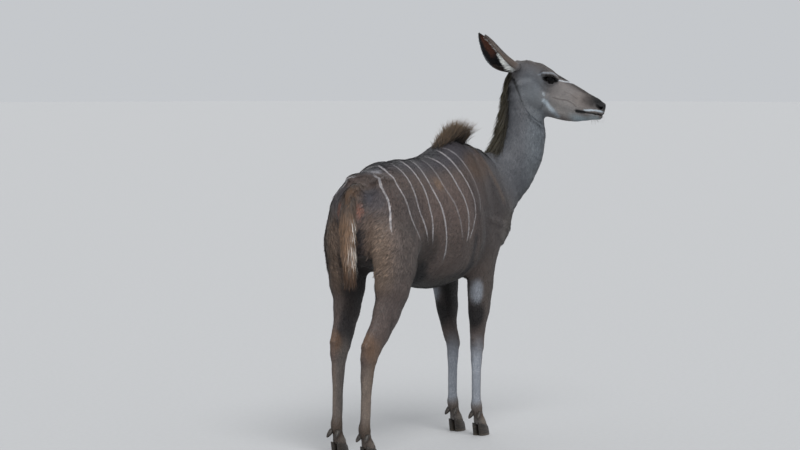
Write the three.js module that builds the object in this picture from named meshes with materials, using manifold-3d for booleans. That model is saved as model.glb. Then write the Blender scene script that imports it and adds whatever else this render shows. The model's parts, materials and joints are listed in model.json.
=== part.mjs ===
// A greater kudu cow at life size, standing with its neck raised and its head turned to its right.
// Millimetres, +Z up. The trunk points along +X and the left side is +Y. Hooves rest on Z = 0.
// The body is one smooth form, built from oval sections along bent axes that melt into each other.
// It is drawn as a mesh and parted with thin plane cuts into head, neck, torso and legs.
import * as THREE from "three";
import { mergeVertices } from "three/addons/utils/BufferGeometryUtils.js";
import Module from "manifold-3d";

const wasm = await Module();
wasm.setup();

const GAP = 0.3; // clear space between touching pieces
const BODY_CENTRE = [93, -92]; // middle of the animal's footprint box, seen from above
// How far the left wrist and hock, and then the left foot, stand ahead of the right ones.
const STEP_LEFT = { fore: [44, 44], hind: [58, 34] };
const HEAD_POLL = [555, -78, 1536]; // the point between the ears
const HEAD_TURN = -54.2; // degrees from straight ahead, to the right
const HEAD_DROP = 26.3; // degrees of the face below level
const EYE = { along: 146, out: 51, up: 3, radius: 22 };
const EAR = { length: 222, width: 72, thickness: 5, bow: 22 };
const SEED = 7;

const COAT = { trunk: 0x6b5d53, neck: 0x75706c, head: 0x7d746b, leg: 0x77675a, tail: 0x8a6a48 };
const HORN = 0x1d1a19; // hooves and dewclaws
// Spacing of the net that draws each piece, along X, Y and Z.
const CELL = {
  torso: [58, 42, 42],
  neck: [31, 31, 38],
  head: [17, 17, 16],
  thigh: [33, 30, 42],
  forearm: [23, 23, 40],
  cannon: [15, 15, 33],
};

const v = (x, y, z) => new THREE.Vector3(x, y, z);
const AHEAD = v(1, 0, 0);
const UP = v(0, 0, 1);
const mix = (a, b, t) => a + (b - a) * t;
const radians = THREE.MathUtils.degToRad;

// The same numbers on every run, between 0 and 1.
function dice(seed) {
  let state = seed;
  return () => {
    state = (state * 16807) % 2147483647;
    return state / 2147483647;
  };
}

// The head has its own axes: along the face, out to the left, and up.
const faceAxis = AHEAD.clone()
  .applyAxisAngle(v(0, 1, 0), radians(HEAD_DROP))
  .applyAxisAngle(UP, radians(HEAD_TURN));
const outAxis = v(0, 1, 0).applyAxisAngle(UP, radians(HEAD_TURN));
const crownAxis = faceAxis.clone().cross(outAxis);
const headFrame = new THREE.Matrix4().makeBasis(faceAxis, outAxis, crownAxis).setPosition(...HEAD_POLL);
const inHead = (along, out, up) => v(along, out, up).applyMatrix4(headFrame);

// A form along a bent axis. Each section is [x, y, z, side, front, back]: the axis point, then how far the
// form reaches to both sides, to the front and to the back of it. startFront and endFront say where front is.
class Form {
  constructor(sections, { startFront, endFront = startFront, power = 2, steps = 4, cap = 0.6, frame = null }) {
    const path = new THREE.CatmullRomCurve3(sections.map((s) => v(s[0], s[1], s[2])), false, "centripetal");
    const count = (sections.length - 1) * steps;
    this.power = power;
    this.points = [];
    for (let i = 0; i <= count; i++) {
      const at = i / steps;
      const low = Math.min(Math.floor(at), sections.length - 2);
      const share = at - low;
      const ease = share * share * (3 - 2 * share);
      const sizes = [3, 4, 5].map((k) => mix(sections[low][k], sections[low + 1][k], ease));
      const place = path.getPoint(i / count);
      if (frame) place.applyMatrix4(frame);
      this.points.push({ place, sizes, cap: cap * Math.min(...sizes) });
    }
    this.points.forEach((point, i) => {
      const before = this.points[Math.max(i - 1, 0)].place;
      const after = this.points[Math.min(i + 1, count)].place;
      const along = after.clone().sub(before).normalize();
      const front = startFront.clone().lerp(endFront, i / count);
      front.addScaledVector(along, -front.dot(along)).normalize();
      Object.assign(point, { along, front, side: front.clone().cross(along) });
    });
    const reach = Math.max(...this.points.map((point) => Math.max(...point.sizes)));
    this.box = new THREE.Box3().setFromPoints(this.points.map((point) => point.place)).expandByScalar(reach);
  }

  // Distance from the skin, below zero inside.
  distance(p) {
    let nearest = Infinity;
    let index = 0;
    let share = 0;
    for (let i = 0; i < this.points.length - 1; i++) {
      const a = this.points[i].place;
      const b = this.points[i + 1].place;
      const [ex, ey, ez] = [b.x - a.x, b.y - a.y, b.z - a.z];
      const [px, py, pz] = [p.x - a.x, p.y - a.y, p.z - a.z];
      const t = Math.min(Math.max((px * ex + py * ey + pz * ez) / (ex * ex + ey * ey + ez * ez), 0), 1);
      const gap = (px - ex * t) ** 2 + (py - ey * t) ** 2 + (pz - ez * t) ** 2;
      if (gap < nearest) [nearest, index, share] = [gap, i, t];
    }
    const [a, b] = [this.points[index], this.points[index + 1]];
    const offset = p.clone().sub(a.place.clone().lerp(b.place, share));
    const [side, front, back] = a.sizes.map((size, k) => mix(size, b.sizes[k], share));
    const across = mix(offset.dot(a.side), offset.dot(b.side), share) / side;
    const forward = mix(offset.dot(a.front), offset.dot(b.front), share);
    const depth = forward / (forward > 0 ? front : back);
    const beyond = mix(offset.dot(a.along), offset.dot(b.along), share) / mix(a.cap, b.cap, share);
    const n = this.power;
    const ratio = (Math.abs(across) ** n + Math.abs(depth) ** n + Math.abs(beyond) ** n) ** (1 / n);
    const length = Math.sqrt(nearest);
    return ratio < 1e-3 ? -Math.min(side, front, back) : length * (1 - 1 / ratio);
  }
}

// Joins two forms with a soft fillet about k wide.
function melt(a, b, k) {
  const h = Math.max(k - Math.abs(a - b), 0) / k;
  return Math.min(a, b) - h * h * k * 0.25;
}

// Mirrors a leg's sections to the animal's left side, stepping ahead from the hip or shoulder down.
function leftOf(sections, [joint, foot]) {
  return sections.map(([x, y, z, ...sizes], i) => {
    const share = Math.min(i / 7, 1);
    const lower = Math.max(i - 7, 0) / (sections.length - 8);
    return [x + mix(joint * share * share, foot, lower), -y, z, ...sizes];
  });
}

// Sections of the body. Sizes not seen in the picture follow the species.
const trunkSections = [
  [-488, 0, 985, 80, 94, 114],
  [-430, 0, 970, 124, 166, 185],
  [-330, 0, 950, 154, 219, 205],
  [-220, 0, 925, 170, 248, 233],
  [-110, 0, 900, 189, 273, 253],
  [0, 0, 890, 202, 288, 261],
  [100, 0, 895, 194, 306, 253],
  [200, 0, 915, 168, 321, 243],
  [290, 0, 930, 142, 293, 228],
  [370, 0, 945, 122, 238, 195],
  [425, 0, 955, 102, 188, 150],
];
const shoulderSections = [
  [190, -46, 1150, 30, 55, 65],
  [225, -74, 1060, 46, 72, 88],
  [290, -94, 970, 58, 86, 105],
  [352, -94, 892, 64, 94, 95],
  [330, -92, 835, 56, 84, 90],
];
const neckSections = [
  [320, 0, 985, 116, 155, 190],
  [425, -18, 1015, 104, 156, 168],
  [502, -52, 1075, 88, 124, 130],
  [545, -78, 1150, 76, 115, 103],
  [564, -90, 1230, 69, 105, 86],
  [570, -94, 1310, 64, 90, 74],
  [568, -92, 1390, 61, 80, 66],
  [560, -84, 1455, 58, 60, 54],
];
const foreSections = [
  [268, -106, 900, 56, 100, 105],
  [250, -104, 805, 55, 112, 90],
  [238, -97, 722, 51, 103, 68],
  [243, -92, 640, 45, 93, 57],
  [249, -86, 540, 39, 73, 53],
  [252, -80, 450, 31, 44, 37],
  [254, -77, 410, 29, 34, 31],
  [255, -76, 375, 28, 31, 31],
  [254, -75, 335, 24, 26, 27],
  [253, -75, 260, 19, 21, 22],
  [253, -75, 165, 18, 20, 22],
  [255, -75, 125, 24, 24, 27],
  [266, -75, 88, 21, 20, 21],
  [280, -75, 52, 26, 27, 25],
  [290, -75, 30, 27, 28, 25],
];
const hindSections = [
  [-398, -64, 1100, 24, 56, 38],
  [-400, -94, 990, 66, 140, 90],
  [-392, -114, 850, 75, 148, 110],
  [-384, -119, 760, 72, 116, 106],
  [-394, -118, 680, 61, 90, 104],
  [-424, -111, 590, 47, 76, 72],
  [-464, -105, 510, 37, 60, 56],
  [-502, -99, 450, 31, 50, 58],
  [-520, -95, 408, 29, 42, 50],
  [-530, -91, 352, 24, 33, 33],
  [-534, -88, 250, 19, 23, 24],
  [-537, -86, 160, 19, 22, 23],
  [-541, -85, 122, 24, 25, 27],
  [-531, -85, 86, 21, 21, 21],
  [-517, -85, 52, 26, 27, 25],
  [-507, -85, 30, 27, 28, 25],
];

// Head sections run along the face, in the head's own axes, with front for up.
const skullSections = [
  [0, 0, -16, 46, 33, 50],
  [45, 0, -12, 58, 50, 60],
  [90, 0, -14, 62, 62, 60],
  [130, 0, -17, 61, 61, 58],
  [170, 0, -19, 54, 55, 56],
  [210, 0, -22, 46, 55, 50],
  [250, 0, -24, 40, 54, 44],
  [290, 0, -26, 36, 53, 40],
  [330, 0, -27, 34, 50, 36],
  [366, 0, -26, 34, 48, 31],
  [400, 0, -25, 32, 41, 26],
];
const jawSections = [
  [96, 0, -94, 44, 50, 46],
  [140, 0, -105, 48, 50, 42],
  [185, 0, -108, 43, 45, 38],
  [230, 0, -104, 36, 40, 33],
  [270, 0, -96, 31, 35, 32],
  [310, 0, -84, 28, 30, 29],
  [350, 0, -67, 26, 24, 23],
  [385, 0, -51, 23, 17, 16],
  [404, 0, -43, 18, 12, 11],
];
const lipSections = [
  [185, 0, -66, 47, 40, 36],
  [235, 0, -64, 42, 36, 34],
  [285, 0, -60, 37, 34, 30],
  [335, 0, -50, 34, 30, 22],
  [380, 0, -38, 31, 24, 14],
];
const cheekSections = [
  [70, -42, -50, 22, 30, 34],
  [115, -44, -84, 20, 38, 40],
  [165, -38, -88, 16, 30, 30],
];
const browSections = [
  [112, -52, 14, 18, 14, 14],
  [140, -60, 20, 15, 13, 12],
  [172, -50, 16, 13, 12, 12],
];

const crown = crownAxis.clone();
const inFace = { frame: headFrame, startFront: crown };
const mirrored = (sections) => sections.map(([x, y, z, ...sizes]) => [x, -y, z, ...sizes]);
const neckForm = new Form(neckSections, { startFront: v(0.8, 0, -0.6), endFront: faceAxis });
const forms = [
  { form: new Form(trunkSections, { startFront: UP, power: 2.05, cap: 0.62 }), k: 40 },
  { form: new Form(shoulderSections, { startFront: AHEAD }), k: 45 },
  { form: new Form(mirrored(shoulderSections), { startFront: AHEAD }), k: 45 },
  { form: neckForm, k: 75 },
  { form: new Form(foreSections, { startFront: AHEAD, cap: 0.3 }), k: 34 },
  { form: new Form(leftOf(foreSections, STEP_LEFT.fore), { startFront: AHEAD, cap: 0.3 }), k: 34 },
  { form: new Form(hindSections, { startFront: AHEAD, cap: 0.3 }), k: 44 },
  { form: new Form(leftOf(hindSections, STEP_LEFT.hind), { startFront: AHEAD, cap: 0.3 }), k: 44 },
  { form: new Form(skullSections, inFace), k: 26 },
  { form: new Form(jawSections, inFace), k: 26 },
  { form: new Form(lipSections, inFace), k: 22 },
  { form: new Form(cheekSections, inFace), k: 18 },
  { form: new Form(mirrored(cheekSections), inFace), k: 18 },
  { form: new Form(browSections, inFace), k: 12 },
  { form: new Form(mirrored(browSections), inFace), k: 12 },
];

// The whole body's skin: distance from it, below zero inside.
function body(p) {
  let d = Infinity;
  for (const { form, k } of forms) if (form.box.distanceToPoint(p) < d + k) d = melt(d, form.distance(p), k);
  return d;
}

function slope(p) {
  const e = 1;
  return v(
    body(v(p.x + e, p.y, p.z)) - body(v(p.x - e, p.y, p.z)),
    body(v(p.x, p.y + e, p.z)) - body(v(p.x, p.y - e, p.z)),
    body(v(p.x, p.y, p.z + e)) - body(v(p.x, p.y, p.z - e)),
  ).divideScalar(2 * e);
}

// Moves a point along the slope until it lies at that height over the skin.
function ontoSkin(p, height = 0, rounds = 3) {
  const q = p.clone();
  for (let i = 0; i < rounds; i++) {
    const s = slope(q);
    const step = (height - body(q)) / Math.max(s.lengthSq(), 0.3);
    q.addScaledVector(s, Math.min(Math.max(step, -14), 14));
  }
  return q;
}

function solid(positions, triangles) {
  const mesh = new wasm.Mesh({
    numProp: 3,
    vertProperties: new Float32Array(positions),
    triVerts: new Uint32Array(triangles),
  });
  return new wasm.Manifold(mesh);
}

// A three.js geometry as a solid.
function solidOf(geometry) {
  const bare = geometry.clone();
  bare.deleteAttribute("normal");
  bare.deleteAttribute("uv");
  const merged = mergeVertices(bare, 1e-3);
  return solid(merged.attributes.position.array, merged.index.array);
}

// Draws the body inside a box as a closed mesh: a net with one point in each cell that the skin crosses,
// and a four-sided patch round each grid edge that it crosses. Points lie at height over the skin.
function drawn(low, high, cell, height = 0) {
  const n = low.map((a, k) => Math.ceil((high[k] - a) / cell[k]) + 1);
  const at = (i, j, k) => (k * n[1] + j) * n[0] + i;
  const place = (i, j, k) => v(low[0] + i * cell[0], low[1] + j * cell[1], low[2] + k * cell[2]);
  const value = new Float64Array(n[0] * n[1] * n[2]).fill(cell[0]);
  for (let k = 1; k < n[2] - 1; k++)
    for (let j = 1; j < n[1] - 1; j++)
      for (let i = 1; i < n[0] - 1; i++)
        value[at(i, j, k)] = body(place(i, j, k)) - height;
  const corners = [0, 1, 2, 3, 4, 5, 6, 7].map((c) => [c & 1, (c >> 1) & 1, c >> 2]);
  const number = new Int32Array(value.length).fill(-1);
  const points = [];
  for (let k = 0; k < n[2] - 1; k++)
    for (let j = 0; j < n[1] - 1; j++)
      for (let i = 0; i < n[0] - 1; i++) {
        const sum = v(0, 0, 0);
        let crossings = 0;
        for (let c = 0; c < 8; c++)
          for (let axis = 0; axis < 3; axis++) {
            if (corners[c][axis]) continue;
            const [a, b, d] = corners[c];
            const far = [a, b, d];
            far[axis] = 1;
            const from = value[at(i + a, j + b, k + d)];
            const to = value[at(i + far[0], j + far[1], k + far[2])];
            if (from < 0 === to < 0) continue;
            const spot = [a, b, d];
            spot[axis] = from / (from - to);
            sum.add(v(...spot));
            crossings++;
          }
        if (!crossings) continue;
        sum.divideScalar(crossings).add(v(i, j, k));
        const point = place(sum.x, sum.y, sum.z);
        number[at(i, j, k)] = points.length;
        const inside = [i, j, k].every((m, axis) => m > 0 && m < n[axis] - 2);
        points.push(inside ? ontoSkin(point, height) : point);
      }
  const triangles = [];
  for (let k = 0; k < n[2] - 1; k++)
    for (let j = 0; j < n[1] - 1; j++)
      for (let i = 0; i < n[0] - 1; i++)
        for (let axis = 0; axis < 3; axis++) {
          const [second, third] = [(axis + 1) % 3, (axis + 2) % 3];
          const here = [i, j, k];
          const next = [i, j, k];
          next[axis]++;
          const inward = value[at(...here)] < 0;
          if (inward === value[at(...next)] < 0) continue;
          const ring = [[0, 0], [-1, 0], [-1, -1], [0, -1]].map(([b, c]) => {
            const cellAt = [i, j, k];
            cellAt[second] += b;
            cellAt[third] += c;
            return number[at(...cellAt)];
          });
          if (!inward) ring.reverse();
          const [p, q, r, s] = ring;
          const short = points[p].distanceTo(points[r]) < points[q].distanceTo(points[s]);
          triangles.push(...(short ? [p, q, r, p, r, s] : [p, q, s, q, r, s]));
        }
  if (pinched(triangles, points.length)) {
    return drawn(low.map((a, k) => a - cell[k] * 0.3), high, cell, height);
  }
  return solid(points.flatMap((p) => [p.x, p.y, p.z]), triangles);
}

// Whether more than two triangles meet along any edge.
function pinched(triangles, count) {
  const seen = new Set();
  for (let i = 0; i < triangles.length; i++) {
    const next = i % 3 === 2 ? i - 2 : i + 1;
    const edge = triangles[i] * count + triangles[next];
    if (seen.has(edge)) return true;
    seen.add(edge);
  }
  return false;
}

// Skins a row of rings that all have as many points, and closes both ends. A ring of one point is a tip.
function ringed(rings) {
  const sides = Math.max(...rings.map((ring) => ring.length));
  const points = [];
  const triangles = [];
  const starts = rings.map((ring) => {
    points.push(...ring);
    return points.length - ring.length;
  });
  const pick = (r, i) => starts[r] + (rings[r].length === 1 ? 0 : i % sides);
  for (let r = 0; r < rings.length - 1; r++)
    for (let i = 0; i < sides; i++) {
      const [a, b, c, d] = [pick(r, i), pick(r, i + 1), pick(r + 1, i + 1), pick(r + 1, i)];
      if (a !== b) triangles.push(a, b, c);
      if (c !== d) triangles.push(a, c, d);
    }
  const close = (r, turn) => {
    if (rings[r].length === 1) return;
    for (let i = 1; i < sides - 1; i++) {
      const face = [pick(r, 0), pick(r, i + 1), pick(r, i)];
      triangles.push(...(turn ? face.reverse() : face));
    }
  };
  close(0, false);
  close(rings.length - 1, true);
  const made = solid(points.flatMap((p) => [p.x, p.y, p.z]), triangles);
  return made.volume() < 0 ? turned(points, triangles) : made;
}

function turned(points, triangles) {
  const flipped = [];
  for (let i = 0; i < triangles.length; i += 3) flipped.push(triangles[i], triangles[i + 2], triangles[i + 1]);
  return solid(points.flatMap((p) => [p.x, p.y, p.z]), flipped);
}

// An oval ring round a point, in the plane of two axes.
function oval(centre, axisA, axisB, a, b, sides) {
  return Array.from({ length: sides }, (_, i) => {
    const angle = (i / sides) * 2 * Math.PI;
    return centre.clone().addScaledVector(axisA, a * Math.cos(angle)).addScaledVector(axisB, b * Math.sin(angle));
  });
}

// A round-ended bar through points, flattened by flat towards the skin's normal there.
function bar(points, radius, { sides = 6, flat = 1, height = 0, ends = 0.35 } = {}) {
  const path = new THREE.CatmullRomCurve3(points);
  const count = Math.round(points.length * 1.3);
  const rings = Array.from({ length: count + 1 }, (_, i) => {
    const t = i / count;
    const along = path.getTangent(t);
    const centre = height === null ? path.getPoint(t) : ontoSkin(path.getPoint(t), height);
    const out = slope(centre).normalize();
    const across = along.clone().cross(out).normalize();
    const swell = mix(ends, 1, Math.sin(Math.PI * t) ** 0.5);
    return oval(centre, across, out, radius * swell, radius * swell * flat, sides);
  });
  return ringed(rings);
}

// A flat, tapered lock of hair. It starts below the skin at root, sets out along start and bends to end.
function lock(root, start, end, flatTo, { length, width, thickness, sink = 8 }) {
  const lengths = [0, 0.3, 0.62, 0.86];
  const widths = [0.8, 1, 0.9, 0.56];
  const spot = root.clone().addScaledVector(start, -sink);
  const rings = [];
  let before = 0;
  lengths.forEach((t, i) => {
    const heading = start.clone().lerp(end, t).normalize();
    spot.addScaledVector(heading, (t - before) * (length + sink));
    before = t;
    const across = heading.clone().cross(flatTo).normalize();
    const through = across.clone().cross(heading).normalize();
    const half = (width / 2) * widths[i];
    rings.push(oval(spot.clone(), across, through, half, (thickness / 2) * widths[i], 4));
  });
  spot.addScaledVector(end, (1 - before) * (length + sink));
  rings.push([spot]);
  return ringed(rings);
}

const together = (solids) => solids.reduce((sum, s) => sum.add(s));

// Keeps a node's largest closed surface.
function largest(made) {
  const pieces = made.decompose();
  return pieces.reduce((best, piece) => (piece.volume() > best.volume() ? piece : best));
}

// Cuts a piece clear of a neighbour that it meets, with the gap opened along way.
function clearOf(made, neighbour, way) {
  const { vertProperties, triVerts } = neighbour.getMesh();
  const moved = vertProperties.map((value, i) => value + way.getComponent(i % 3));
  return made.subtract(neighbour).subtract(solid(moved, triVerts));
}

// A plane as [point, way to keep].
const cut = (made, [point, way], gap = GAP / 2) => {
  const normal = way.clone().normalize();
  return made.trimByPlane(normal.toArray(), normal.dot(point) + gap);
};
const flip = ([point, way]) => [point, way.clone().negate()];

// Planes that part the body.
const THROAT = [inHead(107, 0, -131), faceAxis.clone().multiplyScalar(0.42).addScaledVector(crownAxis, 0.907)];
const NECK_BASE = [v(432, -20, 1030), v(0.82, -0.2, 0.55)];
const KNEES = { fore: 392, hind: 420 }; // height of the cut through the wrist and the hock
const CORONET = { height: 47, slant: 0.3 };

function legBlock(kind, side, gap) {
  const fore = kind === "fore";
  const planes = fore
    ? [[v(0, side * 34, 0), v(0, side, 0)], [v(0, 0, 728), v(0.12, side * 0.25, -1)]]
    : [[v(0, side * 26, 0), v(0, side, 0)], [v(-380, 0, 812), v(0.22, side * 0.3, -1)]];
  const box = new THREE.BoxGeometry(fore ? 320 : 480, 400, 1000);
  box.translate(fore ? 280 : -470, side * 200, 450);
  return planes.reduce((made, plane) => cut(made, plane, -gap), solidOf(box));
}

function wholeLeg(kind, side, cell, low, high) {
  const drawnLeg = drawn(low, high, cell);
  return drawnLeg.intersect(legBlock(kind, side, -GAP / 2));
}

const kudu = new THREE.Group();

function add(name, made, color, roughness = 0.85) {
  const whole = largest(made);
  const { vertProperties, triVerts, numProp, numVert } = whole.getMesh();
  const places = new Float32Array(numVert * 3);
  for (let i = 0; i < numVert; i++) places.set(vertProperties.subarray(i * numProp, i * numProp + 3), i * 3);
  const geometry = new THREE.BufferGeometry();
  geometry.setAttribute("position", new THREE.BufferAttribute(places, 3));
  geometry.setIndex(new THREE.BufferAttribute(triVerts, 1));
  const mesh = new THREE.Mesh(geometry, new THREE.MeshStandardMaterial({ color, roughness, metalness: 0 }));
  mesh.name = name;
  kudu.add(mesh);
}

// The withers carry an upright crest of hair.
function crest(random) {
  const locks = [];
  const rows = 3;
  const perRow = 6;
  for (let row = 0; row < rows; row++)
    for (let i = 0; i < perRow; i++) {
      const t = (i + row / rows) / perRow;
      const x = mix(66, 258, t);
      const root = ontoSkin(v(x, (row - 1) * 9, 1232));
      const lean = v(mix(0.2, 0.35, t), (row - 1) * 0.2 + mix(-0.08, 0.08, random()), 1).normalize();
      const tip = v(mix(-0.2, 0.7, t) + mix(-0.25, 0.25, random()), (row - 1) * 0.45, 1).normalize();
      const length = mix(20, 76, Math.sin(Math.PI * Math.min(t * 0.85, 0.5))) * mix(0.9, 1.08, random());
      locks.push(lock(root, lean, tip, v(0, 1, 0), { length, width: 42, thickness: 8 }));
    }
  return locks;
}

// The mane runs down the nape and lies back towards the withers.
function mane(random) {
  const locks = [];
  const rows = 2;
  const perRow = 11;
  const axis = neckForm.points;
  for (let row = 0; row < rows; row++)
    for (let i = 0; i < perRow; i++) {
      const t = mix(0.36, 0.985, (i + row / rows) / perRow) * (axis.length - 1);
      const point = axis[Math.floor(t)];
      const nape = point.front.clone().negate();
      const side = point.side.clone().multiplyScalar(row === 0 ? 1 : -1);
      const near = point.place.clone().lerp(axis[Math.min(Math.floor(t) + 1, axis.length - 1)].place, t % 1);
      const root = ontoSkin(near.addScaledVector(nape, point.sizes[2]).addScaledVector(side, 7));
      const down = point.along.clone().negate();
      const start = nape.clone().addScaledVector(down, 0.5).addScaledVector(side, 0.2).normalize();
      const end = nape.clone().multiplyScalar(0.55).addScaledVector(down, 0.85).normalize();
      const length = mix(50, 64, random()) * mix(0.75, 1, Math.sin(Math.PI * mix(0.15, 0.9, i / perRow)));
      locks.push(lock(root, start, end, point.side, { length, width: 34, thickness: 7 }));
    }
  return locks;
}

const TORSO_BOX = [[-650, -262, 520], [600, 260, 1300]];
const HEAD_BOX = [[470, -540, 1190], [940, 70, 1640]];

function torso() {
  const random = dice(SEED);
  let made = drawn(...TORSO_BOX, CELL.torso);
  made = together([made, ...crest(random)]);
  made = cut(made, flip(NECK_BASE));
  for (const side of [-1, 1])
    for (const kind of ["fore", "hind"]) made = made.subtract(legBlock(kind, side, GAP / 2));
  return made;
}

function neck() {
  const random = dice(SEED + 1);
  let made = drawn([300, -270, 820], [760, 160, 1600], CELL.neck);
  made = cut(cut(made, NECK_BASE), flip(THROAT));
  return together([made, ...mane(random).map((one) => cut(cut(one, NECK_BASE), flip(THROAT)))]);
}

// A ring of points on the eyeball's front, as an almond. reach above 1 lies outside the lids' edge.
function almond(side, reach) {
  const { along, out, up, radius } = EYE;
  const centre = inHead(along, side * out, up);
  return Array.from({ length: 7 }, (_, i) => {
    const t = (i / 6) * Math.PI;
    const a = -Math.cos(t) * 25 * reach;
    return { a, lift: Math.sin(t), centre, radius };
  });
}

function lid(side, upper) {
  const lift = upper ? 13 : -12;
  const points = almond(side, 1).map(({ a, lift: h, centre, radius }) => {
    const up = h * lift + a * 0.1;
    const depth = Math.sqrt(Math.max((radius + 2) ** 2 - (a * 0.72) ** 2 - up ** 2, 0));
    return centre.clone()
      .addScaledVector(faceAxis, a)
      .addScaledVector(crownAxis, up)
      .addScaledVector(outAxis, side * (depth - Math.abs(a) * 0.12));
  });
  return bar(points, upper ? 5 : 4, { height: null, flat: 0.9, sides: 5, ends: 0.6 });
}

// The mouth's line is a narrow groove, and the nostrils are comma-shaped hollows.
function mouthGroove(side) {
  const line = [[306, 30, -68], [322, 30, -63], [343, 30, -56], [370, 28, -47], [395, 24, -39], [412, 12, -35], [416, 0, -34]];
  return bar(line.map(([a, o, u]) => inHead(a, side * o, u)), 4.5, { flat: 1.3, height: 1.5, sides: 4 });
}

function nostril(side) {
  const line = [[368, 30, -5], [380, 27, -12], [391, 21, -14], [399, 15, -9]];
  return bar(line.map(([a, o, u]) => inHead(a, side * o, u)), 6.5, { flat: 1.5, height: 0, sides: 6 });
}

function eyeball(side, grow = 0) {
  const ball = new THREE.SphereGeometry(EYE.radius + grow, 12, 8);
  const centre = inHead(EYE.along, side * EYE.out, EYE.up);
  ball.applyQuaternion(new THREE.Quaternion().setFromUnitVectors(UP, outAxis));
  ball.translate(centre.x, centre.y, centre.z);
  return solidOf(ball);
}

function head() {
  let made = cut(drawn(...HEAD_BOX, CELL.head), THROAT);
  for (const side of [-1, 1]) {
    made = together([made, lid(side, true), lid(side, false)]);
    made = made.subtract(mouthGroove(side)).subtract(nostril(side)).subtract(eyeball(side, GAP));
  }
  return made;
}

// An ear is a leaf rolled into a cup: a tube at its root that opens towards the tip.
// points holds the outer face across the ear, then the inner face back again.
function ear(side, { back, out, up, turn }) {
  const root = inHead(8, side * 46, -12);
  const along = faceAxis.clone().multiplyScalar(-back)
    .addScaledVector(outAxis, side * out)
    .addScaledVector(crownAxis, up)
    .normalize();
  const mouth = outAxis.clone().multiplyScalar(side).applyAxisAngle(along, radians(side * turn));
  mouth.addScaledVector(along, -mouth.dot(along)).normalize();
  const across = along.clone().cross(mouth);
  const steps = 8;
  const half = 4;
  const rings = [];
  for (let i = 0; i <= steps; i++) {
    const t = i / steps;
    const width = EAR.width * Math.sin(Math.PI * mix(0.25, 1, t ** 0.85)) ** 0.8 + 4;
    const roll = Math.min(160, mix(180, 58, t ** 0.6));
    const radius = width / radians(roll);
    const spine = root.clone()
      .addScaledVector(along, t * EAR.length)
      .addScaledVector(crownAxis, -EAR.bow * Math.sin(Math.PI * t))
      .addScaledVector(mouth, -6 + 16 * t * t);
    const ring = [];
    for (const inner of [false, true])
      for (let j = -half; j <= half; j++) {
        const share = (inner ? -j : j) / half;
        const angle = radians(roll) * share;
        const wall = EAR.thickness * mix(1, 0.45, Math.abs(share));
        const r = radius - (inner ? wall : 0);
        ring.push(spine.clone()
          .addScaledVector(mouth, radius * 0.75 - r * Math.cos(angle))
          .addScaledVector(across, r * Math.sin(angle)));
      }
    rings.push(ring);
  }
  return shell(rings, half * 2 + 1);
}

// Skins C-shaped rings: count points on the outer face, then count on the inner face in reverse order.
function shell(rings, count) {
  const sides = count * 2;
  const points = rings.flat();
  const triangles = [];
  const pick = (r, i) => r * sides + (i % sides);
  for (let r = 0; r < rings.length - 1; r++)
    for (let i = 0; i < sides; i++)
      triangles.push(pick(r, i), pick(r, i + 1), pick(r + 1, i + 1), pick(r, i), pick(r + 1, i + 1), pick(r + 1, i));
  for (const [r, turn] of [[0, false], [rings.length - 1, true]])
    for (let i = 0; i < count - 1; i++) {
      const [a, b, c, d] = [pick(r, i), pick(r, i + 1), pick(r, sides - 2 - i), pick(r, sides - 1 - i)];
      triangles.push(...(turn ? [a, b, c, a, c, d] : [a, c, b, a, d, c]));
    }
  const made = solid(points.flatMap((p) => [p.x, p.y, p.z]), triangles);
  return made.volume() < 0 ? turned(points, triangles) : made;
}

// Each foot has two claws with flat soles. Their outline is an almond, cut off at the coronet.
function claw(x, y, side) {
  const length = 68;
  const width = 27;
  const levels = [[0, 1, 0], [26, 0.96, -6], [62, 0.8, -17]];
  const rings = levels.map(([z, size, shift]) =>
    Array.from({ length: 10 }, (_, i) => {
      const angle = (i / 10) * 2 * Math.PI;
      const nose = Math.cos(angle);
      const reach = nose > 0 ? length * 0.58 : length * 0.42;
      const flat = Math.abs(Math.sin(angle)) ** (nose > 0 ? 1.25 : 0.8) * Math.sign(Math.sin(angle));
      const outward = side * (width / 2 + 0.8);
      return v(x + shift + reach * nose * size, y + outward + (width / 2) * flat * size, z);
    }),
  );
  return ringed(rings);
}

function dewclaw(x, y, side) {
  const root = v(x - 14, y + side * 15, 102);
  const tip = v(x - 40, y + side * 21, 72);
  const along = tip.clone().sub(root).normalize();
  const across = v(0, 1, 0);
  const through = along.clone().cross(across);
  const sizes = [[0, 11], [0.7, 9]];
  const rings = sizes.map(([t, size]) => oval(root.clone().lerp(tip, t), across, through, size, size * 0.8, 6));
  return ringed([...rings, [tip]]);
}

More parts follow.
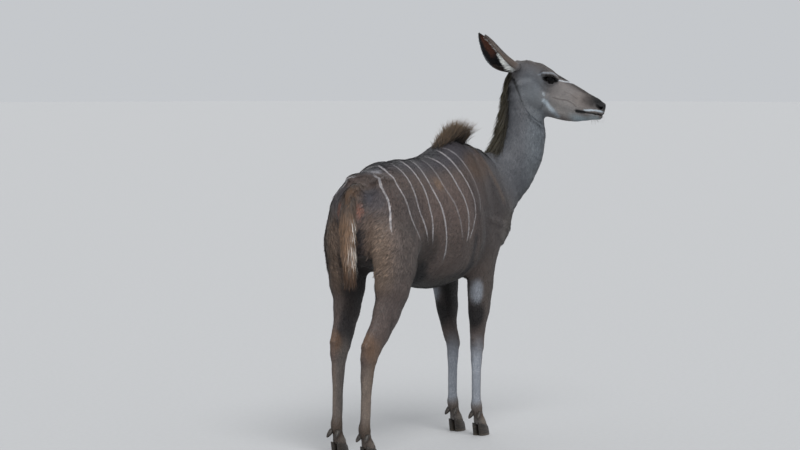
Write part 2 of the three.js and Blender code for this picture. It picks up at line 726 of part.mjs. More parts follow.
function legs() {
  for (const side of [-1, 1])
    for (const kind of ["fore", "hind"]) {
      const fore = kind === "fore";
      const where = side < 0 ? "right" : "left";
      const step = side > 0 ? STEP_LEFT[kind][1] : 0;
      const [x, y] = fore ? [280 + step, side * 75] : [-517 + step, side * 85];
      const knee = [v(0, 0, KNEES[kind]), UP];
      const across = side < 0 ? [-240, -10] : [10, 240];
      const spanX = fore ? [80, 480] : [-670, -190];
      const upper = wholeLeg(kind, side, fore ? CELL.forearm : CELL.thigh,
        [spanX[0], across[0], KNEES[kind] - 70], [spanX[1], across[1], 930]);
      add(`${fore ? "forearm" : "thigh"}_${where}`, cut(upper, knee), COAT.leg);
      const low = [x - 120, y - 70, -20];
      const high = [x + 120, y + 70, KNEES[kind] + 60];
      const coronet = [v(x, 0, CORONET.height), v(CORONET.slant, 0, 1)];
      const cannon = cut(cut(drawn(low, high, CELL.cannon), flip(knee)), coronet);
      const name = `${fore ? "fore" : "hind"}_${where}`;
      add(`cannon_${name}`, cannon, COAT.leg);
      for (const toe of [-1, 1]) {
        const end = toe === side ? "outer" : "inner";
        add(`claw_${name}_${end}`, cut(claw(x + 8, y, toe), flip(coronet)), HORN, 0.5);
        add(`dewclaw_${name}_${end}`, clearOf(dewclaw(x - 12, y, toe), cannon, v(-0.5, toe * 0.4, 0)), HORN, 0.5);
      }
    }
}

// The tail hangs from the rump. Hair grows from its sides and back and ends in a tuft.
function tail() {
  const random = dice(SEED + 2);
  const path = new THREE.CatmullRomCurve3([
    v(-470, 0, 1072), v(-522, -2, 1054), v(-550, -8, 1005), v(-560, -18, 920), v(-560, -24, 830), v(-556, -26, 750),
  ]);
  const rings = Array.from({ length: 9 }, (_, i) => {
    const t = i / 8;
    const along = path.getTangent(t);
    const across = v(0, 1, 0);
    return oval(path.getPoint(t), across, across.clone().cross(along), mix(25, 9, t), mix(20, 7, t), 6);
  });
  const locks = [];
  const count = 14;
  for (let i = 0; i < count; i++) {
    const t = mix(0.2, 0.97, i / (count - 1));
    const angle = ((i % 3) - 1) * 1.5 + mix(-0.2, 0.2, random());
    const out = v(-Math.cos(angle), Math.sin(angle), 0);
    const root = path.getPoint(t).addScaledVector(out, mix(14, 3, t));
    const down = path.getTangent(t).lerp(v(0, 0, -1), 0.5).normalize();
    const start = down.clone().addScaledVector(out, mix(0.5, 0.2, t)).normalize();
    const end = down.clone().addScaledVector(out, 0.04).normalize();
    const length = mix(150, 108, t) * mix(0.9, 1.1, random());
    locks.push(lock(root, start, end, out, { length, width: 42, thickness: 12, sink: 6 }));
  }
  return together([ringed(rings), ...locks]);
}

const trunk = largest(torso());
add("torso", trunk, COAT.trunk);
add("tail", clearOf(tail(), trunk, v(-0.5, 0, 0.4)), COAT.tail);
add("neck", neck(), COAT.neck);
const skull = largest(head());
add("head", skull, COAT.head);
for (const side of [-1, 1]) {
  const where = side < 0 ? "right" : "left";
  const shape = side < 0 ? { back: 0.95, out: 0.12, up: 0.27, turn: 36 } : { back: 0.8, out: 0.5, up: 0.3, turn: 36 };
  const away = faceAxis.clone().multiplyScalar(-0.35).addScaledVector(outAxis, side * 0.5).addScaledVector(crownAxis, 0.1);
  add(`ear_${where}`, clearOf(ear(side, shape), skull, away), COAT.head);
  add(`eye_${where}`, eyeball(side), 0x0b0908, 0.1);
}
legs();

kudu.position.set(-BODY_CENTRE[0], -BODY_CENTRE[1], 0);

export default kudu;
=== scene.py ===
"""A greater kudu cow at life size: skin, markings, coat, mane, tail, eyes, ears and hooves."""

import json
import math
from contextlib import contextmanager

import bmesh
import bpy
import numpy as np
from bpy.props import FloatProperty, FloatVectorProperty, IntProperty, PointerProperty
from mathutils import Matrix, Vector

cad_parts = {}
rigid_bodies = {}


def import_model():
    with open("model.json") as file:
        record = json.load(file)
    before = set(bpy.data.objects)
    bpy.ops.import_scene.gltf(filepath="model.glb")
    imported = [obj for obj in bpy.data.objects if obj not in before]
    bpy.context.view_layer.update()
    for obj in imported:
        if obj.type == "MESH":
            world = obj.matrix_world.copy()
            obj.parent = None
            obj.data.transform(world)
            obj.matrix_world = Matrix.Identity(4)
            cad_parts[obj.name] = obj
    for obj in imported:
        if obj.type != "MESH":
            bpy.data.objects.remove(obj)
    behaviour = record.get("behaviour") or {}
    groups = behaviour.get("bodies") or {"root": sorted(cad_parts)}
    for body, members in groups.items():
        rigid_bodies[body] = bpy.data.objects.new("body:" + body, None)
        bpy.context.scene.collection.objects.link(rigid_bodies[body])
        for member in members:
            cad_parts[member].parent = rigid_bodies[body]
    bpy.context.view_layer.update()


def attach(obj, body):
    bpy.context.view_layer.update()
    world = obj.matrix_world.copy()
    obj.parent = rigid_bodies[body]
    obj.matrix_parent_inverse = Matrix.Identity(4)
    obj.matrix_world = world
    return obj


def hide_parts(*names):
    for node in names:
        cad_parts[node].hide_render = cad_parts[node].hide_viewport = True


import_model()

bl_info = {
    "name": "Greater Kudu",
    "version": (1, 0, 0),
    "blender": (4, 5, 0),
    "location": "3D View > Sidebar > Kudu",
    "description": "Builds a life-size greater kudu cow around its solids",
    "category": "Object",
}

# Named sizes, in millimetres in the body's own axes: X ahead, Y to the left, Z up.

BODY_CENTRE = np.array([93.0, -92.0, 0.0])
STEP_LEFT = {"fore": (44, 44), "hind": (58, 34)}
HEAD_POLL = (555, -78, 1536)
HEAD_TURN = -54.2
HEAD_DROP = 26.3
EYE = {"along": 146, "out": 51, "up": 3, "radius": 22}
CORONET = {"height": 47, "slant": 0.3}
EAR = {"length": 222, "width": 72, "thickness": 5, "bow": 22, "flare": 16, "sink": 6, "cup": 0.75}
SEED = 7
THROAT_POINT = (107, 0, -178)  # in the head's axes: where the skins of the head and the trunk overlap
TRUNK_AXIS = 915  # the height that the flank's stripes turn about
SECTION_STEPS = 4  # parts that each axis is drawn in between two sections

# Each table of sections: axis point, then reach to the sides, to the front and to the back.

TRUNK = [
    (-488, 0, 985, 80, 94, 114),
    (-430, 0, 970, 124, 166, 185),
    (-330, 0, 950, 154, 219, 205),
    (-220, 0, 925, 170, 248, 233),
    (-110, 0, 900, 189, 273, 253),
    (0, 0, 890, 202, 288, 261),
    (100, 0, 895, 194, 306, 253),
    (200, 0, 915, 168, 321, 243),
    (290, 0, 930, 142, 293, 228),
    (370, 0, 945, 122, 238, 195),
    (425, 0, 955, 102, 188, 150),
]
SHOULDER = [
    (190, -46, 1150, 30, 55, 65),
    (225, -74, 1060, 46, 72, 88),
    (290, -94, 970, 58, 86, 105),
    (352, -94, 892, 64, 94, 95),
    (330, -92, 835, 56, 84, 90),
]
NECK = [
    (320, 0, 985, 116, 155, 190),
    (425, -18, 1015, 104, 156, 168),
    (502, -52, 1075, 88, 124, 130),
    (545, -78, 1150, 76, 115, 103),
    (564, -90, 1230, 69, 105, 86),
    (570, -94, 1310, 64, 90, 74),
    (568, -92, 1390, 61, 80, 66),
    (560, -84, 1455, 58, 60, 54),
]
FORE = [
    (268, -106, 900, 56, 100, 105),
    (250, -104, 805, 55, 112, 90),
    (238, -97, 722, 51, 103, 68),
    (243, -92, 640, 45, 93, 57),
    (249, -86, 540, 39, 73, 53),
    (252, -80, 450, 31, 44, 37),
    (254, -77, 410, 29, 34, 31),
    (255, -76, 375, 28, 31, 31),
    (254, -75, 335, 24, 26, 27),
    (253, -75, 260, 19, 21, 22),
    (253, -75, 165, 18, 20, 22),
    (255, -75, 125, 24, 24, 27),
    (266, -75, 88, 21, 20, 21),
    (280, -75, 52, 26, 27, 25),
    (290, -75, 30, 27, 28, 25),
]
HIND = [
    (-398, -64, 1100, 24, 56, 38),
    (-400, -94, 990, 66, 140, 90),
    (-392, -114, 850, 75, 148, 110),
    (-384, -119, 760, 72, 116, 106),
    (-394, -118, 680, 61, 90, 104),
    (-424, -111, 590, 47, 76, 72),
    (-464, -105, 510, 37, 60, 56),
    (-502, -99, 450, 31, 50, 58),
    (-520, -95, 408, 29, 42, 50),
    (-530, -91, 352, 24, 33, 33),
    (-534, -88, 250, 19, 23, 24),
    (-537, -86, 160, 19, 22, 23),
    (-541, -85, 122, 24, 25, 27),
    (-531, -85, 86, 21, 21, 21),
    (-517, -85, 52, 26, 27, 25),
    (-507, -85, 30, 27, 28, 25),
]
# The head's sections run along the face in the head's own axes: along, out to the left, up.
SKULL = [
    (0, 0, -16, 46, 33, 50),
    (45, 0, -12, 58, 50, 60),
    (90, 0, -14, 62, 62, 60),
    (130, 0, -17, 61, 61, 58),
    (170, 0, -19, 54, 55, 56),
    (210, 0, -22, 46, 55, 50),
    (250, 0, -24, 40, 54, 44),
    (290, 0, -26, 36, 53, 40),
    (330, 0, -27, 34, 50, 36),
    (366, 0, -26, 34, 48, 31),
    (400, 0, -25, 32, 41, 26),
]
JAW = [
    (96, 0, -94, 44, 50, 46),
    (140, 0, -105, 48, 50, 42),
    (185, 0, -108, 43, 45, 38),
    (230, 0, -104, 36, 40, 33),
    (270, 0, -96, 31, 35, 32),
    (310, 0, -84, 28, 30, 29),
    (350, 0, -67, 26, 24, 23),
    (385, 0, -51, 23, 17, 16),
    (404, 0, -43, 18, 12, 11),
]
LIPS = [
    (185, 0, -66, 47, 40, 36),
    (235, 0, -64, 42, 36, 34),
    (285, 0, -60, 37, 34, 30),
    (335, 0, -50, 34, 30, 22),
    (380, 0, -38, 31, 24, 14),
]
CHEEK = [(70, -42, -50, 22, 30, 34), (115, -44, -84, 20, 38, 40), (165, -38, -88, 16, 30, 30)]
BROW = [(112, -52, 14, 18, 14, 14), (140, -60, 20, 15, 13, 12), (172, -50, 16, 13, 12, 12)]
DOCK = [
    (-458, 0, 1066, 26, 22, 22),
    (-522, -2, 1054, 22, 17, 17),
    (-550, -8, 1005, 19, 14, 14),
    (-560, -18, 920, 16, 12, 12),
    (-560, -24, 830, 13, 11, 11),
    (-557, -26, 775, 11, 10, 10),
]

# Directions of the head.


def turned(vector, axis, degrees):
    return np.array(Matrix.Rotation(math.radians(degrees), 3, axis) @ Vector(vector))


FACE = turned(turned((1, 0, 0), "Y", HEAD_DROP), "Z", HEAD_TURN)
OUT = turned((0, 1, 0), "Z", HEAD_TURN)
CROWN = np.cross(FACE, OUT)
AHEAD, UP = np.array([1.0, 0, 0]), np.array([0, 0, 1.0])


def in_head(along, out, up):
    """A point of the head, from its own axes to the body's."""
    return np.array(HEAD_POLL) + along * FACE + out * OUT + up * CROWN


def to_head(points):
    """Body points, read along the face, out to the left and up."""
    offset = points - np.array(HEAD_POLL)
    return offset @ FACE, offset @ OUT, offset @ CROWN


def metres(points):
    """Body millimetres to the part's own frame."""
    return (np.asarray(points, float) - BODY_CENTRE) / 1000


# The body's form: oval sections along bent axes that melt into each other.


def centripetal(points, t):
    """A point of the smooth curve through the points, with t from 0 to 1."""
    last = len(points) - 1
    at = t * last
    i = min(int(at), last - 1)
    share = at - i
    before = points[i - 1] if i > 0 else 2 * points[0] - points[1]
    after = points[i + 2] if i + 2 <= last else 2 * points[last] - points[last - 1]
    a, b = points[i], points[i + 1]
    d0, d1, d2 = (math.dist(p, q) ** 0.5 for p, q in ((before, a), (a, b), (b, after)))
    t1 = ((a - before) / d0 - (b - before) / (d0 + d1) + (b - a) / d1) * d1
    t2 = ((b - a) / d1 - (after - a) / (d1 + d2) + (after - b) / d2) * d1
    return a + t1 * share + (3 * (b - a) - 2 * t1 - t2) * share**2 + (2 * (a - b) + t1 + t2) * share**3


def unit(v):
    return v / np.linalg.norm(v, axis=-1, keepdims=True)


class Form:
    """Sections of [axis point, reach to the sides, to the front, to the back] along a bent axis."""

    def __init__(self, sections, front, end_front=None, power=2.0, cap=0.6, in_face=False):
        end_front = front if end_front is None else end_front
        centres = np.array([s[:3] for s in sections], float)
        reaches = np.array([s[3:] for s in sections], float)
        if in_face:
            centres = np.array([in_head(*c) for c in centres])
        self.power = power
        count = (len(sections) - 1) * SECTION_STEPS
        self.place = np.array([centripetal(centres, i / count) for i in range(count + 1)])
        at = np.arange(count + 1) / SECTION_STEPS
        low = np.minimum(at.astype(int), len(sections) - 2)
        share = (at - low)[:, None]
        ease = share**2 * (3 - 2 * share)
        self.sizes = reaches[low] * (1 - ease) + reaches[low + 1] * ease
        self.cap = cap * self.sizes.min(1)
        ahead = np.vstack([self.place[1:], self.place[-1:]])
        behind = np.vstack([self.place[:1], self.place[:-1]])
        self.along = unit(ahead - behind)
        t = (np.arange(count + 1) / count)[:, None]
        lean = front * (1 - t) + end_front * t
        self.front = unit(lean - (lean * self.along).sum(1, keepdims=True) * self.along)
        self.side = np.cross(self.front, self.along)
        self.low = self.place.min(0) - self.sizes.max()
        self.high = self.place.max(0) + self.sizes.max()

    def box_distance(self, p):
        return np.linalg.norm(np.maximum(np.maximum(self.low - p, p - self.high), 0), axis=1)

    def nearest(self, p):
        """The axis's nearest place: its section, the share of the way to the next one and the distance squared."""
        best = np.full(len(p), np.inf)
        index = np.zeros(len(p), int)
        share = np.zeros(len(p))
        for i in range(len(self.place) - 1):
            edge = self.place[i + 1] - self.place[i]
            rel = p - self.place[i]
            t = np.clip(rel @ edge / (edge @ edge), 0, 1)
            gap = ((rel - t[:, None] * edge) ** 2).sum(1)
            closer = gap < best
            best[closer], index[closer], share[closer] = gap[closer], i, t[closer]
        return index, share, best

    def heading(self, p):
        index, share, _ = self.nearest(p)
        return unit(self.along[index] * (1 - share[:, None]) + self.along[index + 1] * share[:, None])

    def wrap(self, p):
        """An unwrap of the form: how far along it a point lies, and how far round."""
        index, share, _ = self.nearest(p)
        offset = p - self.place[index]
        turn = np.arctan2((offset * self.side[index]).sum(1), -(offset * self.front[index]).sum(1))
        return np.stack([(index + share) / (len(self.place) - 1), turn / (2 * math.pi)], 1)

    def distance(self, p):
        """Distance from the form's surface, below zero inside."""
        index, share, best = self.nearest(p)
        near, far, s = index, index + 1, share[:, None]
        offset = p - (self.place[near] * (1 - s) + self.place[far] * s)

        def along(axis):
            a = (offset * axis[near]).sum(1)
            b = (offset * axis[far]).sum(1)
            return a * (1 - share) + b * share

        side, ahead, back = (self.sizes[near] * (1 - s) + self.sizes[far] * s).T
        cap = self.cap[near] * (1 - share) + self.cap[far] * share
        forward = along(self.front)
        across = np.abs(along(self.side)) / side
        depth = np.abs(forward) / np.where(forward > 0, ahead, back)
        beyond = np.abs(along(self.along)) / cap
        n = self.power
        ratio = (across**n + depth**n + beyond**n) ** (1 / n)
        inner = -np.minimum(np.minimum(side, ahead), back)
        return np.where(ratio < 1e-3, inner, np.sqrt(best) * (1 - 1 / np.maximum(ratio, 1e-3)))


def left_of(sections, step):
    """Mirrors a leg's sections to the left, stepping ahead from the hip or shoulder down."""
    joint, foot = step
    moved = []
    for i, (x, y, z, *sizes) in enumerate(sections):
        share = min(i / 7, 1)
        lower = max(i - 7, 0) / (len(sections) - 8)
        moved.append((x + joint * share**2 * (1 - lower) + foot * lower, -y, z, *sizes))
    return moved


def mirrored(sections):
    return [(x, -y, z, *sizes) for x, y, z, *sizes in sections]


NECK_FORM = Form(NECK, np.array([0.8, 0, -0.6]), FACE)
# Each form, the width of its fillet, and the part of the body that it belongs to.
FORMS = [
    (Form(TRUNK, UP, power=2.05, cap=0.62), 40, "trunk"),
    (Form(SHOULDER, AHEAD), 45, "trunk"),
    (Form(mirrored(SHOULDER), AHEAD), 45, "trunk"),
    (NECK_FORM, 75, "neck"),
    (Form(FORE, AHEAD, cap=0.3), 34, "fore"),
    (Form(left_of(FORE, STEP_LEFT["fore"]), AHEAD, cap=0.3), 34, "fore"),
    (Form(HIND, AHEAD, cap=0.3), 44, "hind"),
    (Form(left_of(HIND, STEP_LEFT["hind"]), AHEAD, cap=0.3), 44, "hind"),
    (Form(DOCK, -AHEAD, cap=0.5), 24, "tail"),
    (Form(SKULL, CROWN, in_face=True), 26, "head"),
    (Form(JAW, CROWN, in_face=True), 26, "head"),
    (Form(LIPS, CROWN, in_face=True), 22, "head"),
    (Form(CHEEK, CROWN, in_face=True), 18, "head"),
    (Form(mirrored(CHEEK), CROWN, in_face=True), 18, "head"),
    (Form(BROW, CROWN, in_face=True), 12, "head"),
    (Form(mirrored(BROW), CROWN, in_face=True), 12, "head"),
]


def melt(a, b, k):
    """Joins two forms with a soft fillet about k wide."""
    h = np.maximum(k - np.abs(a - b), 0) / k
    return np.minimum(a, b) - h * h * k * 0.25


def line_distance(points, line, radius=0):
    """Distance from a round line with corners."""
    return np.min([capsule(points, a, b, radius, radius) for a, b in zip(line, line[1:])], axis=0)


def head_line(line, side):
    """A line given in the head's axes, on the left for side 1 and on the right for side -1."""
    return [in_head(along, side * out, up) for along, out, up in line]


def capsule(p, a, b, ra, rb):
    """A round bar from a to b, with a radius at each end."""
    a, b = np.asarray(a, float), np.asarray(b, float)
    edge = b - a
    t = np.clip((p - a) @ edge / (edge @ edge), 0, 1)
    return np.linalg.norm(p - a - t[:, None] * edge, axis=1) - (ra + (rb - ra) * t)


def body(p):
    """Distance of body points from the skin, in millimetres, below zero inside."""
    d = np.full(len(p), 1e4)
    for form, k, _ in FORMS:
        near = form.box_distance(p) < d + k
        if near.any():
            d[near] = melt(d[near], form.distance(p[near]), k)
    return carved(p, d)


# Folds, hollows and bones that only the skin shows.

EYE_CENTRE = {side: in_head(EYE["along"], side * EYE["out"], EYE["up"]) for side in (-1, 1)}
LIDS = {"half": 26, "upper": 12, "lower": 9.5, "tilt": 13, "thick": 3.6}
MOUTH = [
    (303, 36, -69), (322, 36, -63), (343, 35, -56), (370, 33, -47), (395, 27, -39), (412, 16, -35), (419, 0, -34),
]
NOSTRIL = [(364, 35, -2), (374, 33, -9), (385, 29, -14), (394, 23, -12), (398, 18, -6)]
TEAR_CORNER = [(166, 69, 8), (176, 62, 9), (186, 56, 9)]
INNER_NOSTRIL = [(374, 33, -9), (394, 23, -12)]
LIP_CLEFT = [(412, 0, -8), (420, 0, -22), (422, 0, -38)]
# The fold behind the jaw, along and up, with its depth and its half width.
FOLD = [(21, -64), (44, -92), (67, -116), (108, -151), (155, -170), (200, -178)]
FOLD_DEPTH, FOLD_WIDTH = 4.6, 4.5
# The grooves cut on each side of the head: line, radius, fillet.
CREASES = [(MOUTH, 2.8, 4), (NOSTRIL, 5.0, 2), (TEAR_CORNER, 2.6, 4), (LIP_CLEFT, 1.6, 3)]


def step_at(kind, height):
    """How far ahead of the right leg the left one stands at a height."""
    right = HIND if kind == "hind" else FORE
    left = left_of(right, STEP_LEFT[kind])
    heights = [s[2] for s in right][::-1]
    return np.interp(height, heights, [b[0] - a[0] for a, b in zip(right, left)][::-1])


def both_sides(kind, a, b, ra, rb, k):
    """A ridge on the right and on the left, which has stepped ahead."""
    ends = [(x + step_at(kind, z), -y, z) for x, y, z in (a, b)]
    return [(a, b, ra, rb, k), (*ends, ra, rb, k)]


TAIL_EDGE = np.array([0.584, -0.811, 0])  # the way that the tail's white edge faces

# Bones and sinews under the skin: from, to, radius at each end, fillet.
BONES = [
    *both_sides("hind", (-476, -108, 590), (-554, -99, 452), 9, 11, 22),
    *both_sides("hind", (-554, -99, 452), (-552, -95, 395), 12, 10, 16),
    *both_sides("hind", (-551, -92, 350), (-556, -86, 150), 8, 9, 8),
    *both_sides("fore", (225, -80, 412), (228, -79, 392), 12, 11, 14),
    *both_sides("fore", (234, -75, 345), (237, -75, 140), 8, 9, 8),
    *both_sides("fore", (266, -76, 420), (268, -75, 372), 20, 19, 12),
]


def eye_axes(q, side):
    """Points round an eye: along the lids' slit, across it and outward, with the slit's own distance."""
    offset = q - EYE_CENTRE[side]
    along, up, out = offset @ FACE, offset @ CROWN, offset @ OUT * side
    tilt = math.radians(LIDS["tilt"])
    slit = along * math.cos(tilt) + up * math.sin(tilt)
    lift = up * math.cos(tilt) - along * math.sin(tilt)
    edges = []
    for height, way in ((LIDS["upper"], 1), (LIDS["lower"], -1)):
        arc = (LIDS["half"] ** 2 + height**2) / (2 * height)
        edges.append(np.hypot(slit, lift - way * (height - arc)) - arc)
    return slit, lift, out, np.maximum(*edges)


def carved(p, d):
    """Adds the bones' ridges, and the head's lids, mouth and nostrils."""
    result = d.copy()
    for a, b, ra, rb, k in BONES:
        box = np.array([a, b])
        close = np.all((p > box.min(0) - ra - k) & (p < box.max(0) + ra + k), axis=1)
        result[close] = melt(result[close], capsule(p[close], a, b, ra, rb), k)
    near = (d < 60) & (np.linalg.norm(p - in_head(250, 0, -40), axis=1) < 260)
    q, value = p[near], result[near]
    for side in (-1, 1):
        slit, lift, out, opening = eye_axes(q, side)
        ball = np.sqrt(slit**2 + lift**2 + out**2)
        value = melt(value, ball - EYE["radius"] - LIDS["thick"], 12)
        fold = np.abs(np.hypot(slit * 0.8, lift - 2) - 19.5) - 0.6
        value = value + 0.9 * ramp(fold, 2.2, 0) * ramp(lift, 4, 9) * ramp(out, 5, 12)
        value = -melt(-value, np.maximum(opening, 6 - out), 2.0)
        value = -melt(-value, ball - EYE["radius"] - 0.3, 0.6)
        for line, radius, k in CREASES:
            value = -melt(-value, line_distance(q, head_line(line, side), radius), k)
    along, out, up = to_head(q)
    fold = line_distance(np.stack([along, up], 1), FOLD) / FOLD_WIDTH
    value = value + FOLD_DEPTH * np.exp(-(fold**2)) * ramp(np.abs(out), 12, 26)
    result[near] = value
    return result


def net(low, high, cell, field, block=5):
    """Draws the field's zero surface in a box of cells: a point in each crossed cell, a face round each crossed
    edge. Blocks of the grid that lie far from the surface are skipped."""
    low = np.array(low, float)
    blocks = np.ceil((np.array(high) - low) / cell / block).astype(int)
    n = blocks * block
    middles = np.stack(np.meshgrid(*(np.arange(k) for k in blocks), indexing="ij"), -1).reshape(-1, 3)
    rough = field(low + (middles + 0.5) * block * cell)
    value = rough.reshape(blocks)
    for axis in range(3):
        value = np.repeat(value, block, axis)
    inner = np.stack(np.meshgrid(*[np.arange(block)] * 3, indexing="ij"), -1).reshape(-1, 3)
    near = middles[np.abs(rough) < block * cell * 1.25 + 8]
    nodes = (near[:, None] * block + inner[None]).reshape(-1, 3)
    batches = np.array_split(nodes, 1 + len(nodes) // 400000)
    value[tuple(nodes.T)] = np.concatenate([field(low + batch * cell) for batch in batches])
    owners, spots, rings = [], [], []
    for axis in range(3):
        u, w = (axis + 1) % 3, (axis + 2) % 3
        near_side = [slice(1, m - 1) for m in n]
        near_side[axis] = slice(0, n[axis] - 1)
        far_side = list(near_side)
        far_side[axis] = slice(1, n[axis])
        here, there = value[tuple(near_side)], value[tuple(far_side)]
        edge = np.argwhere((here < 0) != (there < 0))
        a, b = here[tuple(edge.T)], there[tuple(edge.T)]
        edge += np.array([0 if k == axis else 1 for k in range(3)])
        spot = edge.astype(float)
        spot[:, axis] += a / (a - b)
        ring = []
        for back_u, back_w in ((0, 0), (1, 0), (1, 1), (0, 1)):
            owner = edge.copy()
            owner[:, u] -= back_u
            owner[:, w] -= back_w
            ring.append(np.ravel_multi_index(tuple(owner.T), tuple(n)))
            spots.append(spot)
        owners.extend(ring)
        ring = np.stack(ring, 1)
        ring[a >= 0] = ring[a >= 0][:, ::-1]
        rings.append(ring)
    cells, number = np.unique(np.concatenate(owners), return_inverse=True)
    spots = np.vstack(spots)
    count = np.bincount(number)
    points = np.stack([np.bincount(number, spots[:, k]) / count for k in range(3)], 1)
    return unpinched(low + points * cell, np.searchsorted(cells, np.vstack(rings)))


def unpinched(points, quads):
    """Parts two sheets that touch along an edge, so that each edge has two faces."""
    faces = quads.tolist()
    starts = quads.ravel()
    ends = np.roll(quads, -1, 1).ravel()
    keys = np.minimum(starts, ends) * len(points) + np.maximum(starts, ends)
    edges, number, count = np.unique(keys, return_inverse=True, return_counts=True)
    added = []
    for edge in np.nonzero(count == 4)[0]:
        a, b = divmod(int(edges[edge]), len(points))
        users = np.nonzero(number == edge)[0] // 4
        middle = (points[a] + points[b]) / 2
        along = unit(points[b] - points[a])
        reach = points[quads[users]].mean(1) - middle
        reach = reach - np.outer(reach @ along, along)
        first = unit(reach[0])
        angle = np.arctan2(reach @ np.cross(along, first), reach @ first) % (2 * math.pi)
        order = np.argsort(angle)
        gaps = np.diff(np.append(angle[order], 2 * math.pi))
        if gaps[0] + gaps[2] > gaps[1] + gaps[3]:
            order = np.roll(order, -1)
        for pair in (order[:2], order[2:]):
            added.append(middle + 0.03 * unit(reach[pair].sum(0) + 1e-6))
            for user in users[pair]:
                face = faces[user]
                spots = (face.index(a), face.index(b))
                at = max(spots) if abs(spots[0] - spots[1]) == 1 else len(face)
                face.insert(at, len(points) + len(added) - 1)
    return np.vstack([points, *added]), faces


# The skin.

THROAT = in_head(*THROAT_POINT)
THROAT_WAY = 0.42 * FACE + 0.907 * CROWN
# Each ear's way back, out and up, and how far its cup turns to the front, in degrees.
EAR_SHAPES = {-1: (0.95, 0.12, 0.27, 36), 1: (0.8, 0.5, 0.3, 36)}


def ramp(value, low, high):
    """0 at low, 1 at high, eased at both ends. low may be above high."""
    t = np.clip((value - low) / (high - low), 0, 1)
    return t * t * (3 - 2 * t)


def skin_depth(p):
    """How far the skin lies under the tips of the flat coat."""
    in_face = ramp(np.linalg.norm(p - in_head(230, 0, -50), axis=1), 340, 220)
    return 1.2 + 2.6 * ramp(p[:, 2], 350, 700) * (1 - in_face)


def skin_level(p):
    return body(p) + skin_depth(p)


def leg_foot(p):
    """How far ahead of its foot's middle each point lies."""
    fore = p[:, 0] > -100
    left = p[:, 1] > 0
    return p[:, 0] - np.where(fore, 280 + left * STEP_LEFT["fore"][1], -517 + left * STEP_LEFT["hind"][1])


def trunk_level(p):
    """The skin without the head: it ends a little past the throat and inside the tops of the hooves."""
    throat = (p - THROAT) @ THROAT_WAY - 5
    hoof = CORONET["height"] - 4 - p[:, 2] - CORONET["slant"] * leg_foot(p)
    return np.maximum(np.maximum(skin_level(p), throat), hoof)


def head_level(p):
    return np.maximum(skin_level(p), (THROAT - p) @ THROAT_WAY)


def settle(bm, verts, field, steps=2):
    """Moves points along their normals until they lie on the field's zero surface."""
    for _ in range(steps):
        bm.normal_update()
        p = np.array([v.co for v in verts])
        n = np.array([v.normal for v in verts])
        first = field(p)
        step = np.clip(-first, -4, 4)
        second = field(p + n * step[:, None])
        moved = np.abs(step) > 1e-3
        rate = np.where(moved, (second - first) / np.where(moved, step, 1), 1)
        rate = np.clip(rate, 0.4, 1.6)
        p += n * np.clip(-first / rate, -5, 5)[:, None]
        for v, place in zip(verts, p):
            v.co = place


def refine(bm, field, where):
    """Halves the faces that a test picks, and lays the new points on the field."""
    centres = np.array([f.calc_center_median() for f in bm.faces])
    bm.faces.ensure_lookup_table()
    picked = [bm.faces[i] for i in np.nonzero(where(centres))[0]]
    edges = list({e for f in picked for e in f.edges})
    bmesh.ops.subdivide_edges(bm, edges=edges, cuts=1, use_grid_fill=True)
    near = [v for v in bm.verts if v.is_valid]
    chosen = where(np.array([v.co for v in near]))
    near = [v for v, yes in zip(near, chosen) if yes]
    bmesh.ops.smooth_vert(bm, verts=near, factor=0.4, use_axis_x=True, use_axis_y=True, use_axis_z=True)
    settle(bm, near, field)


def new_mesh(name, points, faces):
    mesh = bpy.data.meshes.new(name)
    mesh.from_pydata(np.asarray(points, float).tolist(), [], faces)
    return mesh


@contextmanager
def edited(mesh):
    """Opens a mesh for edits, and writes them back."""
    bm = bmesh.new()
    bm.from_mesh(mesh)
    yield bm
    bm.to_mesh(mesh)
    bm.free()


def outward(mesh, smooth=None):
    """Turns the faces of a closed mesh outward, and smooths those that a test picks."""
    with edited(mesh) as bm:
        bmesh.ops.recalc_face_normals(bm, faces=bm.faces)
        for face in bm.faces:
            face.smooth = smooth is not None and smooth(face)
    return mesh


def ring_faces(rings, sides):
    """The faces between closed rings of points that lie one after the other."""
    ring = [(i, (i + 1) % sides) for i in range(sides)]
    return [(r * sides + i, r * sides + j, (r + 1) * sides + j, (r + 1) * sides + i)
            for r in range(rings - 1) for i, j in ring]


def netted(name, low, high, cell, field, refined):
    """A closed mesh of the field's zero surface, in body millimetres, finer where the test picks."""
    mesh = new_mesh(name, *net(low, high, cell, field))
    with edited(mesh) as bm:
        settle(bm, list(bm.verts), field, 1)
        refine(bm, field, refined)
        bmesh.ops.triangulate(bm, faces=[f for f in bm.faces if len(f.verts) > 4])
    return mesh


def near_eye(p):
    return np.min([np.linalg.norm(p - EYE_CENTRE[side], axis=1) for side in (-1, 1)], axis=0) < 36


def ear_frame(side):
    """The ear's root, and the ways along it, out of its cup's mouth and across."""
    back, out, up, turn = EAR_SHAPES[side]
    along = unit(-back * FACE + side * out * OUT + up * CROWN)
    mouth = np.array(Matrix.Rotation(math.radians(side * turn), 3, Vector(along)) @ Vector(OUT * side))
    mouth = unit(mouth - (mouth @ along) * along)
    return in_head(8, side * 46, -12), along, mouth, np.cross(along, mouth)


def ear_curl(t):
    """Half the angle that the ear's leaf bends through at t from its root, and the radius of the bend."""
    t = np.clip(t, 0, 1)
    width = EAR["width"] * np.sin(np.pi * np.minimum(0.25 + 0.75 * t**0.85, 1)) ** 0.8 + 4
    roll = np.minimum(160, 180 - 122 * t**0.6)
    return roll, width / np.radians(roll)


